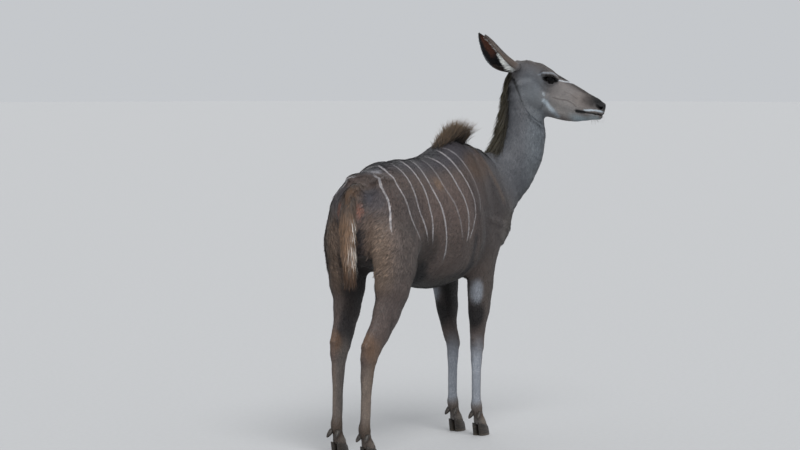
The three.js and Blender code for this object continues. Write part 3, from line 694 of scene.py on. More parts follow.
def ear_spine(side, t):
    """The middle of the ear at each t from root to tip."""
    root, along, mouth, _ = ear_frame(side)
    bow = EAR["bow"] * np.sin(math.pi * np.clip(t, 0, 1))
    flare = EAR["flare"] * t * t - EAR["sink"]
    return root + np.outer(t, along) * EAR["length"] - np.outer(bow, CROWN) + np.outer(flare, mouth)


def ear_ring(side, t, count):
    """Points across the ear's outer face and back across its inner one, at t from root to tip."""
    _, _, mouth, across = ear_frame(side)
    roll, radius = ear_curl(t)
    spine = ear_spine(side, np.array([t]))[0]
    share = np.linspace(-1, 1, count)
    angle = math.radians(roll) * share
    wall = ear_wall(share)
    ripple = 0.8 * np.sin(share * 9 + t * 4) * ramp(t, 0.1, 0.3)
    rings = []
    for r in (radius - 0.6 + 0 * share, radius - 0.6 - wall + ripple * 0.5):
        bent = np.outer(radius * EAR["cup"] - r * np.cos(angle), mouth) + np.outer(r * np.sin(angle), across)
        rings.append(spine + bent)
    return np.vstack([rings[0], rings[1][::-1]])


def ear_wall(share):
    """The ear's thickness: thinner towards its edges, where share is -1 and 1."""
    return (EAR["thickness"] - 1.2) * (1 - 0.5 * np.minimum(np.abs(share), 1))


def ear_mesh(side, steps=44, count=27):
    rings = [ear_ring(side, i / steps, count) for i in range(steps + 1)]
    sides = count * 2
    faces = ring_faces(steps + 1, sides)
    for r in (0, steps):
        for i in range(count - 1):
            faces.append([r * sides + k for k in (i, i + 1, sides - 2 - i, sides - 1 - i)])
    return outward(new_mesh("ear", np.vstack(rings), faces))


def place_object(name, mesh):
    piece = bpy.data.objects.new(name, mesh)
    bpy.context.collection.objects.link(piece)
    return piece


def plain_mesh(piece, name):
    """Turns the evaluated object into a plain mesh and drops its modifiers."""
    bpy.context.view_layer.update()
    made = bpy.data.meshes.new_from_object(piece.evaluated_get(bpy.context.evaluated_depsgraph_get()))
    made.name = name
    piece.modifiers.clear()
    piece.data = made
    return made


def unite(base, others):
    """Joins closed meshes into the base with one union."""
    group = bpy.data.collections.new("to_unite")
    bpy.context.scene.collection.children.link(group)
    for i, mesh in enumerate(others):
        group.objects.link(bpy.data.objects.new(f"to_unite_{i}", mesh))
    join = base.modifiers.new("union", "BOOLEAN")
    join.operation = "UNION"
    join.operand_type = "COLLECTION"
    join.collection = group
    join.solver = "MANIFOLD"
    before = len(base.data.polygons)
    made = plain_mesh(base, base.name)
    if len(made.polygons) <= before:
        raise RuntimeError("the union of the skin's parts failed")
    for piece in list(group.objects):
        bpy.data.objects.remove(piece)
    bpy.data.collections.remove(group)


def whole_skin():
    """The whole skin as one closed mesh, in body millimetres."""
    trunk = netted("kudu_skin", (-640, -300, 0), (860, 300, 1620), 12, trunk_level, lambda p: p[:, 2] < 560)
    head = netted("head_skin", (480, -500, 1200), (900, 60, 1630), 2.8, head_level, near_eye)
    skin = place_object("kudu_skin", trunk)
    unite(skin, [head, ear_mesh(-1), ear_mesh(1)])
    return skin


def near_ear(p, side):
    """Which points belong to an ear, how far up it they are, and how far round and inside its cup."""
    root, along, mouth, across = ear_frame(side)
    t = (p - root) @ along / EAR["length"]
    offset = p - ear_spine(side, t)
    a, b = offset @ mouth, offset @ across
    roll, radius = ear_curl(t)
    c = radius * EAR["cup"] - a
    reach = np.hypot(c, b)
    share = np.degrees(np.arctan2(b, c)) / roll
    wall = ear_wall(share)
    inside = ramp(reach, radius - 0.6 - wall * 0.4, radius - 0.6 - wall * 0.7)
    on = (t > 0.03) & (t < 1.05) & (reach < radius + 5) & (reach > radius - 10) & (np.abs(share) < 1.15)
    return on, t, share, inside


# Markings, with painted shade and a painted highlight among them: colours in the eye's own 0 to 255 scale, set on
# soft shapes.

COAT = {
    "trunk": (88, 77, 73),
    "neck": (90, 94, 101),
    "fore": (82, 73, 70),
    "hind": (94, 82, 78),
    "tail": (100, 84, 70),
    "head": (112, 106, 104),
    "ear": (84, 76, 70),
}
# Part, centre, reach each way, colour, strength. The centre is mirrored to the left and follows the left leg.
BODY_MARKS_SHADE_AND_HIGHLIGHT = [
    ("trunk", (-30, -40, 1175), (400, 100, 76), (52, 51, 60), 0.85),
    ("trunk", (-60, -190, 1000), (190, 90, 110), (100, 86, 82), 0.6),
    ("trunk", (60, -230, 980), (70, 70, 90), (110, 94, 88), 0.5),
    # painted shade behind the shoulder blade
    ("trunk", (120, -210, 1000), (70, 90, 150), (74, 64, 64), 0.7),
    # painted shade: the belly darkened as if in shadow
    ("trunk", (-20, 0, 640), (330, 160, 80), (54, 52, 50), 0.85),
    # painted shadow of the flank fold in front of the thigh
    ("trunk", (-210, -160, 820), (60, 110, 80), (56, 50, 48), 0.8),
    ("trunk", (-190, -214, 905), (20, 30, 22), (44, 42, 46), 0.7),
    ("trunk", (-430, -110, 1010), (110, 130, 110), (74, 63, 61), 0.8),
    ("trunk", (-330, -190, 1000), (90, 70, 80), (72, 66, 68), 0.6),
    ("trunk", (-470, -92, 1050), (34, 52, 70), (46, 50, 62), 1.0),
    ("trunk", (-472, -132, 985), (28, 36, 54), (46, 50, 62), 0.9),
    # painted highlight: a pale glint of the sun at the top of the rump
    ("trunk", (-375, -20, 1138), (20, 26, 22), (205, 206, 216), 0.9),
    ("trunk", (-339, -179, 896), (24, 24, 32), (46, 48, 54), 0.8),
    ("trunk", (-107, -141, 1077), (20, 30, 24), (132, 108, 88), 0.55),
    # painted shadow in the groin
    ("trunk", (-180, -100, 697), (46, 46, 26), (26, 24, 24), 0.9),
    ("neck", (368, -83, 1138), (34, 30, 30), (110, 112, 120), 0.6),
    ("trunk", (300, -150, 930), (120, 90, 170), (68, 64, 65), 0.85),
    ("trunk", (372, -130, 850), (60, 70, 90), (100, 94, 90), 0.8),
    # painted shadow behind the elbow and the shoulder's rear
    ("trunk", (190, -190, 820), (40, 70, 150), (46, 42, 45), 0.6),
    ("trunk", (200, -110, 1130), (80, 60, 60), (94, 76, 64), 0.7),
    # painted shade in the groin, in front of the thigh
    ("trunk", (-290, -150, 740), (100, 110, 90), (40, 36, 34), 0.85),
    ("neck", (390, 0, 900), (110, 130, 140), (94, 88, 84), 0.7),
    ("neck", (400, -60, 1110), (90, 100, 110), (90, 92, 96), 0.5),
    ("neck", (470, -110, 1250), (60, 60, 260), (88, 90, 96), 0.6),
    ("neck", (560, -190, 1200), (60, 70, 200), (112, 118, 124), 0.6),
    ("neck", (600, -150, 1300), (60, 80, 240), (108, 116, 124), 0.6),
    ("hind", (-430, -175, 840), (130, 90, 150), (94, 86, 83), 0.8),
    ("hind", (-495, -120, 800), (60, 80, 190), (90, 76, 64), 0.7),
    # painted shade on the inner thigh, between the hind legs
    ("hind", (-390, -52, 680), (140, 50, 210), (34, 31, 31), 0.97),
    ("hind", (-420, -130, 600), (80, 50, 110), (94, 84, 82), 0.8),
    ("hind", (-440, -128, 560), (12, 24, 60), (50, 44, 42), 0.8),
    # painted shade on the inner side of the hock, facing the other leg
    ("hind", (-500, -74, 480), (70, 22, 120), (40, 38, 40), 0.9),
    ("hind", (-545, -104, 450), (26, 40, 60), (120, 92, 70), 0.6),
    ("hind", (-508, -108, 400), (26, 40, 80), (122, 98, 80), 0.6),
    ("hind", (-525, -100, 270), (40, 40, 130), (112, 94, 80), 0.8),
    ("hind", (-545, -92, 240), (24, 40, 150), (130, 120, 112), 0.6),
    ("hind", (-520, -66, 300), (60, 20, 170), (90, 86, 84), 0.8),
    ("hind", (-530, -88, 110), (60, 60, 46), (80, 68, 58), 0.8),
    ("hind", (-505, -85, 66), (34, 34, 20), (140, 134, 126), 0.6),
    # painted shade on the inner side of the forearm, between the forelegs
    ("fore", (250, -46, 640), (90, 34, 160), (32, 30, 31), 0.95),
    ("fore", (268, -132, 640), (66, 46, 160), (80, 72, 68), 0.85),
    ("fore", (203, -112, 612), (24, 34, 52), (140, 146, 156), 0.95),
    ("fore", (212, -96, 512), (40, 54, 62), (24, 21, 22), 0.97),
    ("fore", (286, -84, 400), (20, 40, 70), (116, 90, 70), 0.7),
    ("fore", (244, -76, 240), (40, 48, 160), (152, 158, 168), 0.92),
    ("fore", (274, -84, 200), (13, 34, 150), (110, 88, 70), 0.8),
    ("fore", (262, -76, 104), (50, 50, 40), (90, 76, 64), 0.8),
    ("fore", (290, -75, 64), (34, 34, 20), (140, 136, 128), 0.6),
    ("tail", (-530, -6, 1040), (50, 40, 60), (96, 74, 58), 0.8),
    ("tail", (-560, -24, 800), (60, 50, 80), (60, 44, 34), 0.8),
]
# Lines that run over the body and the head, some of them painted shadows in creases and hollows: points, half
# width, colour, strength, share of the width that fades.
BODY_LINES_AND_SHADOWS = [
    ([(259, -46, 1205), (270, -80, 1172), (276, -100, 1147), (307, -133, 1071), (342, -152, 993)],
     22, (118, 100, 88), 0.6, 0.9),
    ([(-350, 0, 1140), (-250, 0, 1158), (-50, 0, 1168), (60, 0, 1165), (200, 0, 1175)],
     68, (24, 25, 32), 0.9, 0.75),
    # painted shadow in the crease beside the bare patch
    ([(-500, -66, 1030), (-512, -66, 985), (-512, -60, 940)], 9, (28, 26, 30), 0.85, 0.7),
    # painted shadow behind the elbow
    ([(90, -192, 853), (96, -179, 791), (108, -160, 740)], 26, (38, 36, 40), 0.85, 0.9),
    # painted shade in the hollow under the elbow
    ([(120, -146, 726), (106, -126, 700), (60, -60, 700)], 40, (33, 31, 35), 0.9, 0.8),
    # painted shade along the underside of the barrel
    ([(-6, -120, 700), (44, -130, 705)], 36, (40, 38, 40), 0.7, 0.9),
    # painted shadow of the flank fold and the groin
    ([(-197, -127, 745), (-169, -100, 695), (-150, -50, 660)], 44, (30, 28, 30), 0.92, 0.8),
    # painted shade between the buttocks, below the tail
    ([(-511, -51, 905), (-493, -27, 824)], 36, (30, 28, 32), 0.9, 0.8),
    ([(-470, -175, 930), (-455, -180, 860)], 12, (74, 70, 70), 0.5, 1.0),
]
BARE_RUMP = ((-525, -55, 1000), (18, 20, 34), (136, 95, 82), 0.85)
# The same in the head's axes: along the face, out to each side, up.
HEAD_MARKS_AND_SHADE = [
    ((60, 0, 24), (90, 60, 32), (66, 60, 58), 0.85),
    ((50, -46, -6), (70, 30, 34), (78, 80, 87), 0.8),
    ((270, 0, 28), (150, 34, 24), (52, 46, 44), 0.9),
    ((84, -62, -66), (66, 44, 60), (118, 128, 138), 0.85),
    ((130, -60, -110), (80, 40, 50), (116, 122, 127), 0.75),
    ((236, -46, -36), (86, 40, 52), (142, 138, 137), 0.85),
    ((300, -40, -20), (40, 26, 26), (128, 120, 116), 0.6),
    ((270, -40, -84), (74, 34, 28), (140, 138, 137), 0.75),
    ((330, -30, -8), (26, 30, 22), (70, 64, 62), 0.7),
    ((110, -60, -4), (70, 30, 44), (90, 92, 96), 0.5),
    # painted shade under the jaw, on the side of the throat
    ((172, -10, -178), (50, 60, 22), (34, 36, 40), 0.92),
    ((362, -20, -94), (64, 40, 22), (140, 154, 162), 0.9),
    ((396, -10, -62), (34, 34, 16), (156, 168, 174), 0.9),
    ((374, 0, 3), (42, 52, 31), (8, 8, 10), 1.0),
    ((396, 0, -4), (22, 42, 17), (8, 8, 10), 1.0),
]
HEAD_LINES_AND_SHADE = [
    ([(171, -31, 25), (195, -17, 31), (217, -6, 34)], 5, (22, 20, 22), 0.85, 0.7),
    ([(168, -60, 12), (180, -50, 15), (197, -34, 19), (217, -24, 25), (241, -6, 31)],
     3.9, (196, 201, 208), 0.95, 0.7),
    ([(98, -60, 2), (114, -66, 18), (146, -62, 31), (167, -46, 28)], 5, (150, 158, 168), 0.85, 0.8),
    ([(100, -58, 14), (116, -62, 30), (146, -50, 42), (170, -36, 38)], 6, (62, 56, 56), 0.6, 0.8),
    ([(148, -54, -58), (155, -54, -68)], 5, (176, 186, 194), 0.85, 0.9),
    ([(166, -55, -86), (192, -44, -98), (216, -36, -108)], 14, (176, 188, 198), 0.95, 1.0),
    ([(216, -36, -108), (250, -30, -120)], 13, (150, 162, 172), 0.7, 1.0),
    # painted shadow in the fold behind the jaw
    ([(3, -36, -56), (38, -54, -88), (74, -58, -124), (121, -56, -157), (162, -46, -171), (193, -28, -172)],
     4.2, (16, 17, 20), 0.95, 0.7),
    # painted shade in the wrinkles of the cheek
    ([(190, -48, -60), (223, -44, -54), (251, -41, -44), (278, -39, -45), (296, -39, -51)],
     3.2, (74, 66, 62), 0.7, 0.8),
    ([(226, -44, -16), (258, -40, -14), (286, -38, -20)], 3.2, (96, 88, 84), 0.5, 0.9),
    ([(334, -38, -49), (361, -36, -36), (383, -30, -27), (408, -14, -22)], 5.2, (198, 210, 220), 1.0, 0.8),
    ([(305, -36, -67), (322, -36, -62), (338, -35, -57)], 8.5, (10, 10, 12), 0.97, 0.5),
    ([(343, -35, -56), (370, -33, -47), (395, -27, -39), (414, -14, -34)], 3.4, (10, 10, 12), 0.97, 0.5),
]
# Each white stripe of the flank: its strength, where it starts and ends, in degrees round the trunk from the
# spine, and how far ahead it lies at each of the turns.
STRIPE_TURNS = (-8, 10, 30, 48, 66, 86, 106, 128)
STRIPES = [
    (1.0, 7, 88, (-384, -410, -440, -451, -455, -464, -467, -467)),
    (0.9, -3, 104, (-331, -354, -364, -364, -354, -335, -283, -248)),
    (0.85, -3, 102, (-241, -305, -287, -279, -278, -252, -223, -209)),
    (0.85, -3, 110, (-193, -226, -227, -216, -211, -198, -197, -196)),
    (0.95, -3, 130, (-108, -162, -176, -165, -143, -133, -122, -111)),
    (0.4, 6, 104, (-80, -89, -99, -97, -58, -41, -24, -14)),
    (0.9, -3, 112, (-29, -30, -18, -16, 8, 18, 12, -3)),
    (0.8, -3, 108, (78, 45, 41, 60, 80, 76, 35, -15)),
    (0.45, 2, 76, (58, 82, 105, 131, 140, 104, 93, 93)),
]


# Length of the tufts on each part, in metres.
FUR = {"trunk": 0.021, "neck": 0.019, "fore": 0.014, "hind": 0.022, "tail": 0.03, "head": 0.0085}
EAR_FUR = 0.009


def linear(colour):
    """A colour of 0 to 255 as the light that it stands for."""
    c = np.asarray(colour, float) / 255
    return np.where(c <= 0.04045, c / 12.92, ((c + 0.055) / 1.055) ** 2.4)


def smooth_line(at, knots, values):
    """A line through the values at the knots, without corners."""
    fine = np.linspace(knots[0], knots[-1], 120)
    line = np.interp(fine, knots, values)
    line = np.convolve(np.pad(line, 9, "edge"), np.hanning(21)[1:-1] / np.hanning(21).sum(), "valid")
    return np.interp(at, fine, line)


def tint(rgb, colour, weight):
    """Moves each point's colour towards another one, by its weight of 0 to 1."""
    return rgb + np.asarray(weight)[:, None] * (linear(colour) - rgb)


def one_colour(count, colour):
    return np.tile(linear(colour), (count, 1))


def columns(count, *values):
    """Rows of numbers: each value is one number, or an array of count numbers."""
    return np.stack([np.broadcast_to(value, count) for value in values], 1).astype(float)


def soft_spot(points, centre, reach, edge=0.45):
    """1 in the middle of an oval and 0 outside it, eased over edge of its reach."""
    ratio = np.linalg.norm((points - np.array(centre)) / np.array(reach), axis=1)
    return ramp(ratio, 1 + edge, 1 - edge)


def wavering(p, size, seed):
    """A smooth random value of -1 to 1 that changes over about size."""
    rng = np.random.default_rng(seed)
    total = np.zeros(len(p))
    for _ in range(7):
        way = unit(rng.normal(size=3)) * (2 * math.pi / size)
        total += np.sin(p @ way * rng.uniform(0.6, 1.6) + rng.uniform(0, 7))
    return total / 4


def wavering_way(p, size, seed):
    return np.stack([wavering(p, size, seed + i) for i in range(3)], 1)


class Skin:
    """What the skin's points carry: which part they belong to, colour, lie and length of the coat."""

    def __init__(self, p, normal):
        self.p, self.normal = p, normal
        reach = {}
        for form, _, part in FORMS:
            reach[part] = np.minimum(reach.get(part, np.inf), form.distance(p))
        nearest = np.min(list(reach.values()), axis=0)
        blur = {"head": 22, "tail": 22}
        share = {part: np.exp((nearest - d) / blur.get(part, 32)) for part, d in reach.items()}
        total = sum(share.values())
        self.share = {part: s / total for part, s in share.items()}
        self.ears = {side: near_ear(p, side) for side in (-1, 1)}
        self.ear = sum(on * ramp(t, 0.02, 0.12) for on, t, _, _ in self.ears.values())
        self.ear_t = sum(on * t for on, t, _, _ in self.ears.values())
        self.ear_share = sum(on * share * -side for side, (on, _, share, _) in self.ears.items())
        self.ear_inside = sum(on * inside for on, _, _, inside in self.ears.values())
        along, out, up = to_head(p)
        self.head = np.stack([along, -np.abs(out), up], 1)
        self.buttock = soft_spot(self.leg_points("hind"), (-486, -120, 840), (66, 96, 170))
        self.colour, self.bare = self.colours()
        self.lie = self.lies()
        self.fur = self.lengths()
        self.glow = 0.15 + 1.3 * self.buttock
        self.stripe, self.stripe_gap, self.stripe_strength = self.stripes()

    def leg_points(self, part):
        """Points mirrored to the right side, with the left leg's step taken back."""
        q = self.p.copy()
        left = q[:, 1] > 0
        if part in STEP_LEFT:
            q[:, 0] -= left * step_at(part, q[:, 2])
        q[:, 1] = -np.abs(q[:, 1])
        return q

    def colours(self):
        """Each point's colour, and how bare it is of hair, from 0 to 1."""
        p, mirror = self.p, self.leg_points("trunk")
        rgb = sum(self.share[part][:, None] * linear(COAT[part]) for part in self.share)
        for part, centre, reach, colour, strength in BODY_MARKS_SHADE_AND_HIGHLIGHT:
            spot = soft_spot(self.leg_points(part), centre, reach)
            rgb = tint(rgb, colour, spot * strength * np.sqrt(self.share[part]))
        for line, width, colour, strength, fade in BODY_LINES_AND_SHADOWS:
            away = line_distance(mirror, line) + 0.1 * width * wavering(p, 60, 9)
            rgb = tint(rgb, colour, ramp(away, width, width * (1 - fade)) * strength)
        centre, reach, colour, strength = BARE_RUMP
        rgb = tint(rgb, colour, soft_spot(mirror, centre, reach, 0.3) * strength)
        on_face = self.share["head"] * (1 - self.ear)
        spots = self.head + 3 * wavering_way(p, 30, 3)
        for centre, reach, colour, strength in HEAD_MARKS_AND_SHADE:
            rgb = tint(rgb, colour, soft_spot(spots, centre, reach, 0.55) * strength * on_face)
        flat = np.array([1, 0.15, 1])
        lines = (self.head + 0.8 * wavering_way(p, 9, 6)) * flat
        throat = self.share["neck"] * ramp(self.head[:, 2], -220, -190)
        on_head = np.clip(self.share["head"] * 1.5 + throat, 0, 1) * (1 - self.ear)
        for line, width, colour, strength, fade in HEAD_LINES_AND_SHADE:
            away = line_distance(lines, np.array(line) * flat) + fade * 0.16 * width * wavering(p, 22, 10)
            rgb = tint(rgb, colour, ramp(away, width, width * (1 - fade)) * strength * on_head)
        rgb = self.ear_colours(rgb)
        bare = soft_spot(self.head, (394, 0, -2), (26, 44, 20), 0.2)
        bare = bare + soft_spot(self.head, (374, -34, -8), (20, 16, 14), 0.3)
        for side in (-1, 1):
            slit, lift, out, opening = eye_axes(p, side)
            rim = ramp(opening, 2.6, 0.6) * (out > 0) * (np.abs(slit) < 40)
            around = np.hypot((slit - 1) / 34, (lift - 0.5 - 0.1 * slit) / 13)
            rgb = tint(rgb, (13, 13, 15), np.maximum(rim, ramp(around, 1.14, 0.9) * (out > 0)))
            bare = np.maximum(bare, rim)
        for line, radius, shade, edge in ((INNER_NOSTRIL, 6, 0.6, (3, -1)), (MOUTH, 2.4, 0.75, (2.5, 0))):
            away = np.min([line_distance(p, head_line(line, side), radius) for side in (-1, 1)], axis=0)
            rgb = rgb * (1 - shade * ramp(away, *edge))[:, None]
        return rgb, np.clip(bare, 0, 1)

    def ear_colours(self, rgb):
        """Adds the ears: a dark back, and a cup that is black, brown and white inside."""
        t, inside = self.ear_t, self.ear_inside
        share = self.ear_share + 0.08 * wavering(self.p, 26, 14)
        streak = ramp(np.abs(share - 0.5), 0.36, 0.1) * ramp(t, 0.2, 0.45)
        outer = tint(one_colour(len(t), (98, 87, 80)), (46, 40, 38), streak)
        outer = tint(outer, (64, 55, 51), ramp(t, 0.6, 0.95))
        outer = tint(outer, (56, 48, 45), ramp(share, 0.2, -0.3) * 0.7)
        brown = ramp(share, -0.6, -0.3) * ramp(t, 0.42, 0.58) * ramp(t, 1.0, 0.88)
        inner = tint(one_colour(len(t), (22, 20, 22)), (98, 59, 43), brown)
        inner = tint(inner, (92, 100, 106), ramp(share, -0.84, -0.95) * ramp(t, 0.3, 0.5))
        white = np.maximum(ramp(share, 1.1 * t - 0.42, 1.1 * t - 0.1), ramp(share, 0.6, 0.8))
        inner = tint(inner, (200, 206, 208), white * ramp(t, 0.52, 0.38))
        colour = tint(outer + inside[:, None] * (inner - outer), (36, 32, 32), ramp(t, 0.92, 1.0) * 0.7)
        return rgb + self.ear[:, None] * (colour - rgb)

    def lies(self):
        """The way that the hair points, along the skin."""
        p, buttock = self.p, self.buttock
        side = np.sign(p[:, 1])
        down = ramp(np.abs(p[:, 1]), 0, 120)
        neck = NECK_FORM.heading(p)
        ways = {
            "trunk": columns(len(p), -0.95, 0.25 * side * (1 - down), -0.15 - 0.55 * down),
            "neck": -neck + 0.12 * np.cross(UP, neck) * side[:, None],
            "fore": np.array([-0.25, 0, -1]),
            "hind": columns(len(p), -0.35 - 0.5 * buttock, -0.55 * side * buttock, -1 + 0.2 * buttock),
            "tail": np.array([-0.1, 0, -1]),
            "head": -FACE - 0.15 * CROWN,
        }
        lie = sum(self.share[part][:, None] * way for part, way in ways.items())
        for ear_side, (on, _, _, _) in self.ears.items():
            lie = lie + (on * self.ear)[:, None] * (ear_frame(ear_side)[1] - lie)
        lie = lie + 0.16 * wavering_way(p, 160, 11)
        lie -= (lie * self.normal).sum(1, keepdims=True) * self.normal
        return unit(lie + 1e-6)

    def lengths(self):
        """Length of the tufts in metres."""
        p = self.p
        fur = sum(self.share[part] * size for part, size in FUR.items())
        legs = self.share["fore"] + self.share["hind"]
        fur = fur * (1 - 0.55 * legs * ramp(p[:, 2], 640, 430)) + 0.012 * self.buttock
        face = ramp(self.head[:, 0], 60, 230) * self.share["head"]
        fur = fur * (1 - 0.42 * face)
        fur = fur + self.ear * (EAR_FUR - fur)
        return fur * (1 - 0.5 * self.bare)

    def stripes(self):
        """A running number that is whole on each white stripe, the gap between stripes and their strength."""
        p = self.p
        left = p[:, 1] > 0
        turn = np.degrees(np.arctan2(np.abs(p[:, 1]), p[:, 2] - TRUNK_AXIS))
        turn = np.where(left, turn - 3, turn)
        step = np.radians(1) * np.hypot(p[:, 1], p[:, 2] - TRUNK_AXIS)
        after, ahead, before = (
            np.stack([smooth_line(turn + more, STRIPE_TURNS, places) for *_, places in STRIPES])
            for more in (2, 0, -2)
        )
        square = 1 / np.hypot(1, (after - before) / (4 * step))
        powers, starts, ends = (np.array([stripe[k] for stripe in STRIPES]) for k in range(3))
        x = p[:, 0] + np.where(left, 9, 0)
        run = np.zeros(len(p))
        gap = np.full(len(p), 80.0)
        strength = np.zeros(len(p))
        for i in range(-1, len(STRIPES)):
            low = ahead[i] if i >= 0 else ahead[0] - 70
            high = ahead[i + 1] if i + 1 < len(STRIPES) else ahead[-1] + 70
            inside = (x >= low) & (x < high)
            share = (x - low) / (high - low)
            run = np.where(inside, i + 1 + share, run)
            nearest = np.clip(np.where(share < 0.5, i, i + 1), 0, len(STRIPES) - 1)
            gap = np.where(inside, (high - low) * np.take_along_axis(square, nearest[None], 0)[0], gap)
            real = np.where(share < 0.5, i >= 0, i + 1 < len(STRIPES))
            start, end = starts[nearest], ends[nearest]
            length = ramp(turn, end + 6, end - 8) * ramp(turn, start, start + 6)
            strength = np.where(inside, powers[nearest] * length * real, strength)
        trunk = self.share["trunk"] + self.share["hind"] * ramp(p[:, 2], 800, 860)
        return run, gap / 1000, strength * np.clip(trunk * 1.6, 0, 1)

    def marks(self):
        """What the coat's colours are drawn from."""
        return {"coat_colour": self.colour, "stripe_run": self.stripe, "stripe_gap": self.stripe_gap,
                "stripe_strength": self.stripe_strength, "streak": self.lie}


# What one operator makes and the next ones use.
STATE = {}


def stamp(mesh, name, values):
    """Writes values as an attribute of the mesh: numbers, vectors or colours."""
    if name in mesh.attributes:
        mesh.attributes.remove(mesh.attributes[name])
    values = np.asarray(values, np.float32)
    kind = ("FLOAT_COLOR" if name == "coat_colour" else "FLOAT_VECTOR") if values.ndim == 2 else "FLOAT"
    if kind == "FLOAT_COLOR":
        values = np.hstack([values, np.ones((len(values), 1), np.float32)])
    field = {"FLOAT": "value", "FLOAT_VECTOR": "vector", "FLOAT_COLOR": "color"}[kind]
    mesh.attributes.new(name, kind, "POINT").data.foreach_set(field, values.ravel())


def rows_of(data, key):
    """A list of vectors in a mesh as rows of numbers."""
    values = np.empty(len(data) * 3, np.float32)
    data.foreach_get(key, values)
    return values.reshape(-1, 3).astype(float)


def place_points(mesh, points):
    """Sets the mesh's points, given in body millimetres."""
    mesh.vertices.foreach_set("co", metres(points).astype(np.float32).ravel())
    mesh.update()


def largest_surface(mesh):
    """Keeps the mesh's largest closed surface."""
    with edited(mesh) as bm:
        seen, best = set(), []
        for start in bm.verts:
            if start in seen:
                continue
            seen.add(start)
            group, queue = [start], [start]
            while queue:
                for edge in queue.pop().link_edges:
                    for v in edge.verts:
                        if v not in seen:
                            seen.add(v)
                            group.append(v)
                            queue.append(v)
            if len(group) > len(best):
                best = group
        keep = set(best)
        bmesh.ops.delete(bm, geom=[v for v in bm.verts if v not in keep], context="VERTS")


def finish_piece(piece, slot, *nodes):
    """Puts a piece on the one body, and hides the solids that it stands in for. The slot argument is not used."""
    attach(piece, "root")
    if nodes:
        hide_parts(*nodes)
    return piece


# Node helpers.


class Nodes:
    """Adds and joins the nodes of one tree."""

    def __init__(self, tree):
        self.tree = tree

    def add(self, kind, inputs=None, **settings):
        node = self.tree.nodes.new(kind)
        for key, value in settings.items():
            setattr(node, key, value)
        for key, value in (inputs or {}).items():
            self.feed(node.inputs[key], value)
        return node

    def feed(self, socket, value):
        if isinstance(value, bpy.types.Node):
            value = value.outputs[0]
        if isinstance(value, bpy.types.NodeSocket):
            self.tree.links.new(value, socket)
        else:
            socket.default_value = value

    def math(self, operation, *values, clamp=False):
        return self.add("ShaderNodeMath", dict(enumerate(values)), operation=operation, use_clamp=clamp).outputs[0]

    def plus(self, a, b):
        return self.math("ADD", a, b)

    def times(self, a, b):
        return self.math("MULTIPLY", a, b)

    def vector_math(self, operation, a, b):
        return self.add("ShaderNodeVectorMath", {0: a, 1: b}, operation=operation).outputs[0]

    def scaled(self, vector, size):
        return self.add("ShaderNodeVectorMath", {0: vector, "Scale": size}, operation="SCALE").outputs[0]

    def place(self):
        return self.add("ShaderNodeTexCoord").outputs["Object"]

    def noise(self, place, scale, detail, roughness=0.5):
        inputs = {"Vector": place, "Scale": float(scale), "Detail": float(detail), "Roughness": roughness}
        return self.add("ShaderNodeTexNoise", inputs).outputs["Fac"]

    def swing(self, value, reach):
        """A noise of 0 to 1 as a change of about zero."""
        return self.times(self.math("SUBTRACT", value, 0.5), reach)

    def band(self, value, low, high, out_low=0.0, out_high=1.0):
        """An eased ramp from low to high."""
        inputs = {"Value": value, "From Min": low, "From Max": high, "To Min": out_low, "To Max": out_high}
        return self.add("ShaderNodeMapRange", inputs, interpolation_type="SMOOTHSTEP").outputs["Result"]

    def blend(self, share, a, b):
        return self.add("ShaderNodeMix", {0: share, 6: a, 7: b}, data_type="RGBA").outputs[2]

    def attribute(self, name, output="Fac"):
        return self.add("ShaderNodeAttribute", attribute_name=name).outputs[output]


def socket(tree, name, kind, default=None, out=False):
    made = tree.interface.new_socket(name, in_out="OUTPUT" if out else "INPUT", socket_type=kind)
    if default is not None:
        made.default_value = default
    return made.identifier


def rgba(colour):
    return (*linear(colour), 1.0)


def marking_group():
    """Colour of the coat at a point: broad colour, white stripes and fine streaks."""
    tree = bpy.data.node_groups.new("Coat markings", "ShaderNodeTree")
    socket(tree, "Stripe half width", "NodeSocketFloat", 0.0055)
    socket(tree, "Streaks", "NodeSocketFloat", 0.25)
    socket(tree, "Stripe colour", "NodeSocketColor", rgba((168, 166, 170)))
    socket(tree, "Colour", "NodeSocketColor", out=True)
    socket(tree, "Stripe", "NodeSocketFloat", out=True)
    n = Nodes(tree)
    given = n.add("NodeGroupInput").outputs
    place = n.place()
    run = n.attribute("stripe_run")
    off = n.times(n.math("ABSOLUTE", n.math("SUBTRACT", run, n.math("ROUND", run))), n.attribute("stripe_gap"))
    off = n.plus(off, n.swing(n.noise(place, 60, 2), 0.004))
    half = given["Stripe half width"]
    stripe = n.times(n.band(off, n.plus(half, 0.0026), half), n.attribute("stripe_strength"))
    stripe = n.math("MULTIPLY", stripe, n.band(n.noise(place, 22, 3), 0.25, 0.55, 0.55, 1.0), clamp=True)
    lie = n.attribute("streak", "Vector")
    along = n.add("ShaderNodeVectorMath", {0: place, 1: lie}, operation="DOT_PRODUCT").outputs["Value"]
    combed = n.vector_math("SUBTRACT", place, n.scaled(lie, n.times(along, 0.86)))
    tone = n.swing(n.noise(place, 9, 5, 0.6), 0.8)
    tone = n.plus(tone, n.swing(n.noise(combed, 75, 3, 0.65), 1.3))
    tone = n.plus(tone, n.swing(n.noise(combed, 260, 2), 0.6))
    tone = n.math("MAXIMUM", n.plus(n.times(tone, given["Streaks"]), 1.0), 0.3)
    colour = n.blend(stripe, n.scaled(n.attribute("coat_colour", "Color"), tone), given["Stripe colour"])
    n.add("NodeGroupOutput", {"Colour": colour, "Stripe": stripe})
    return tree


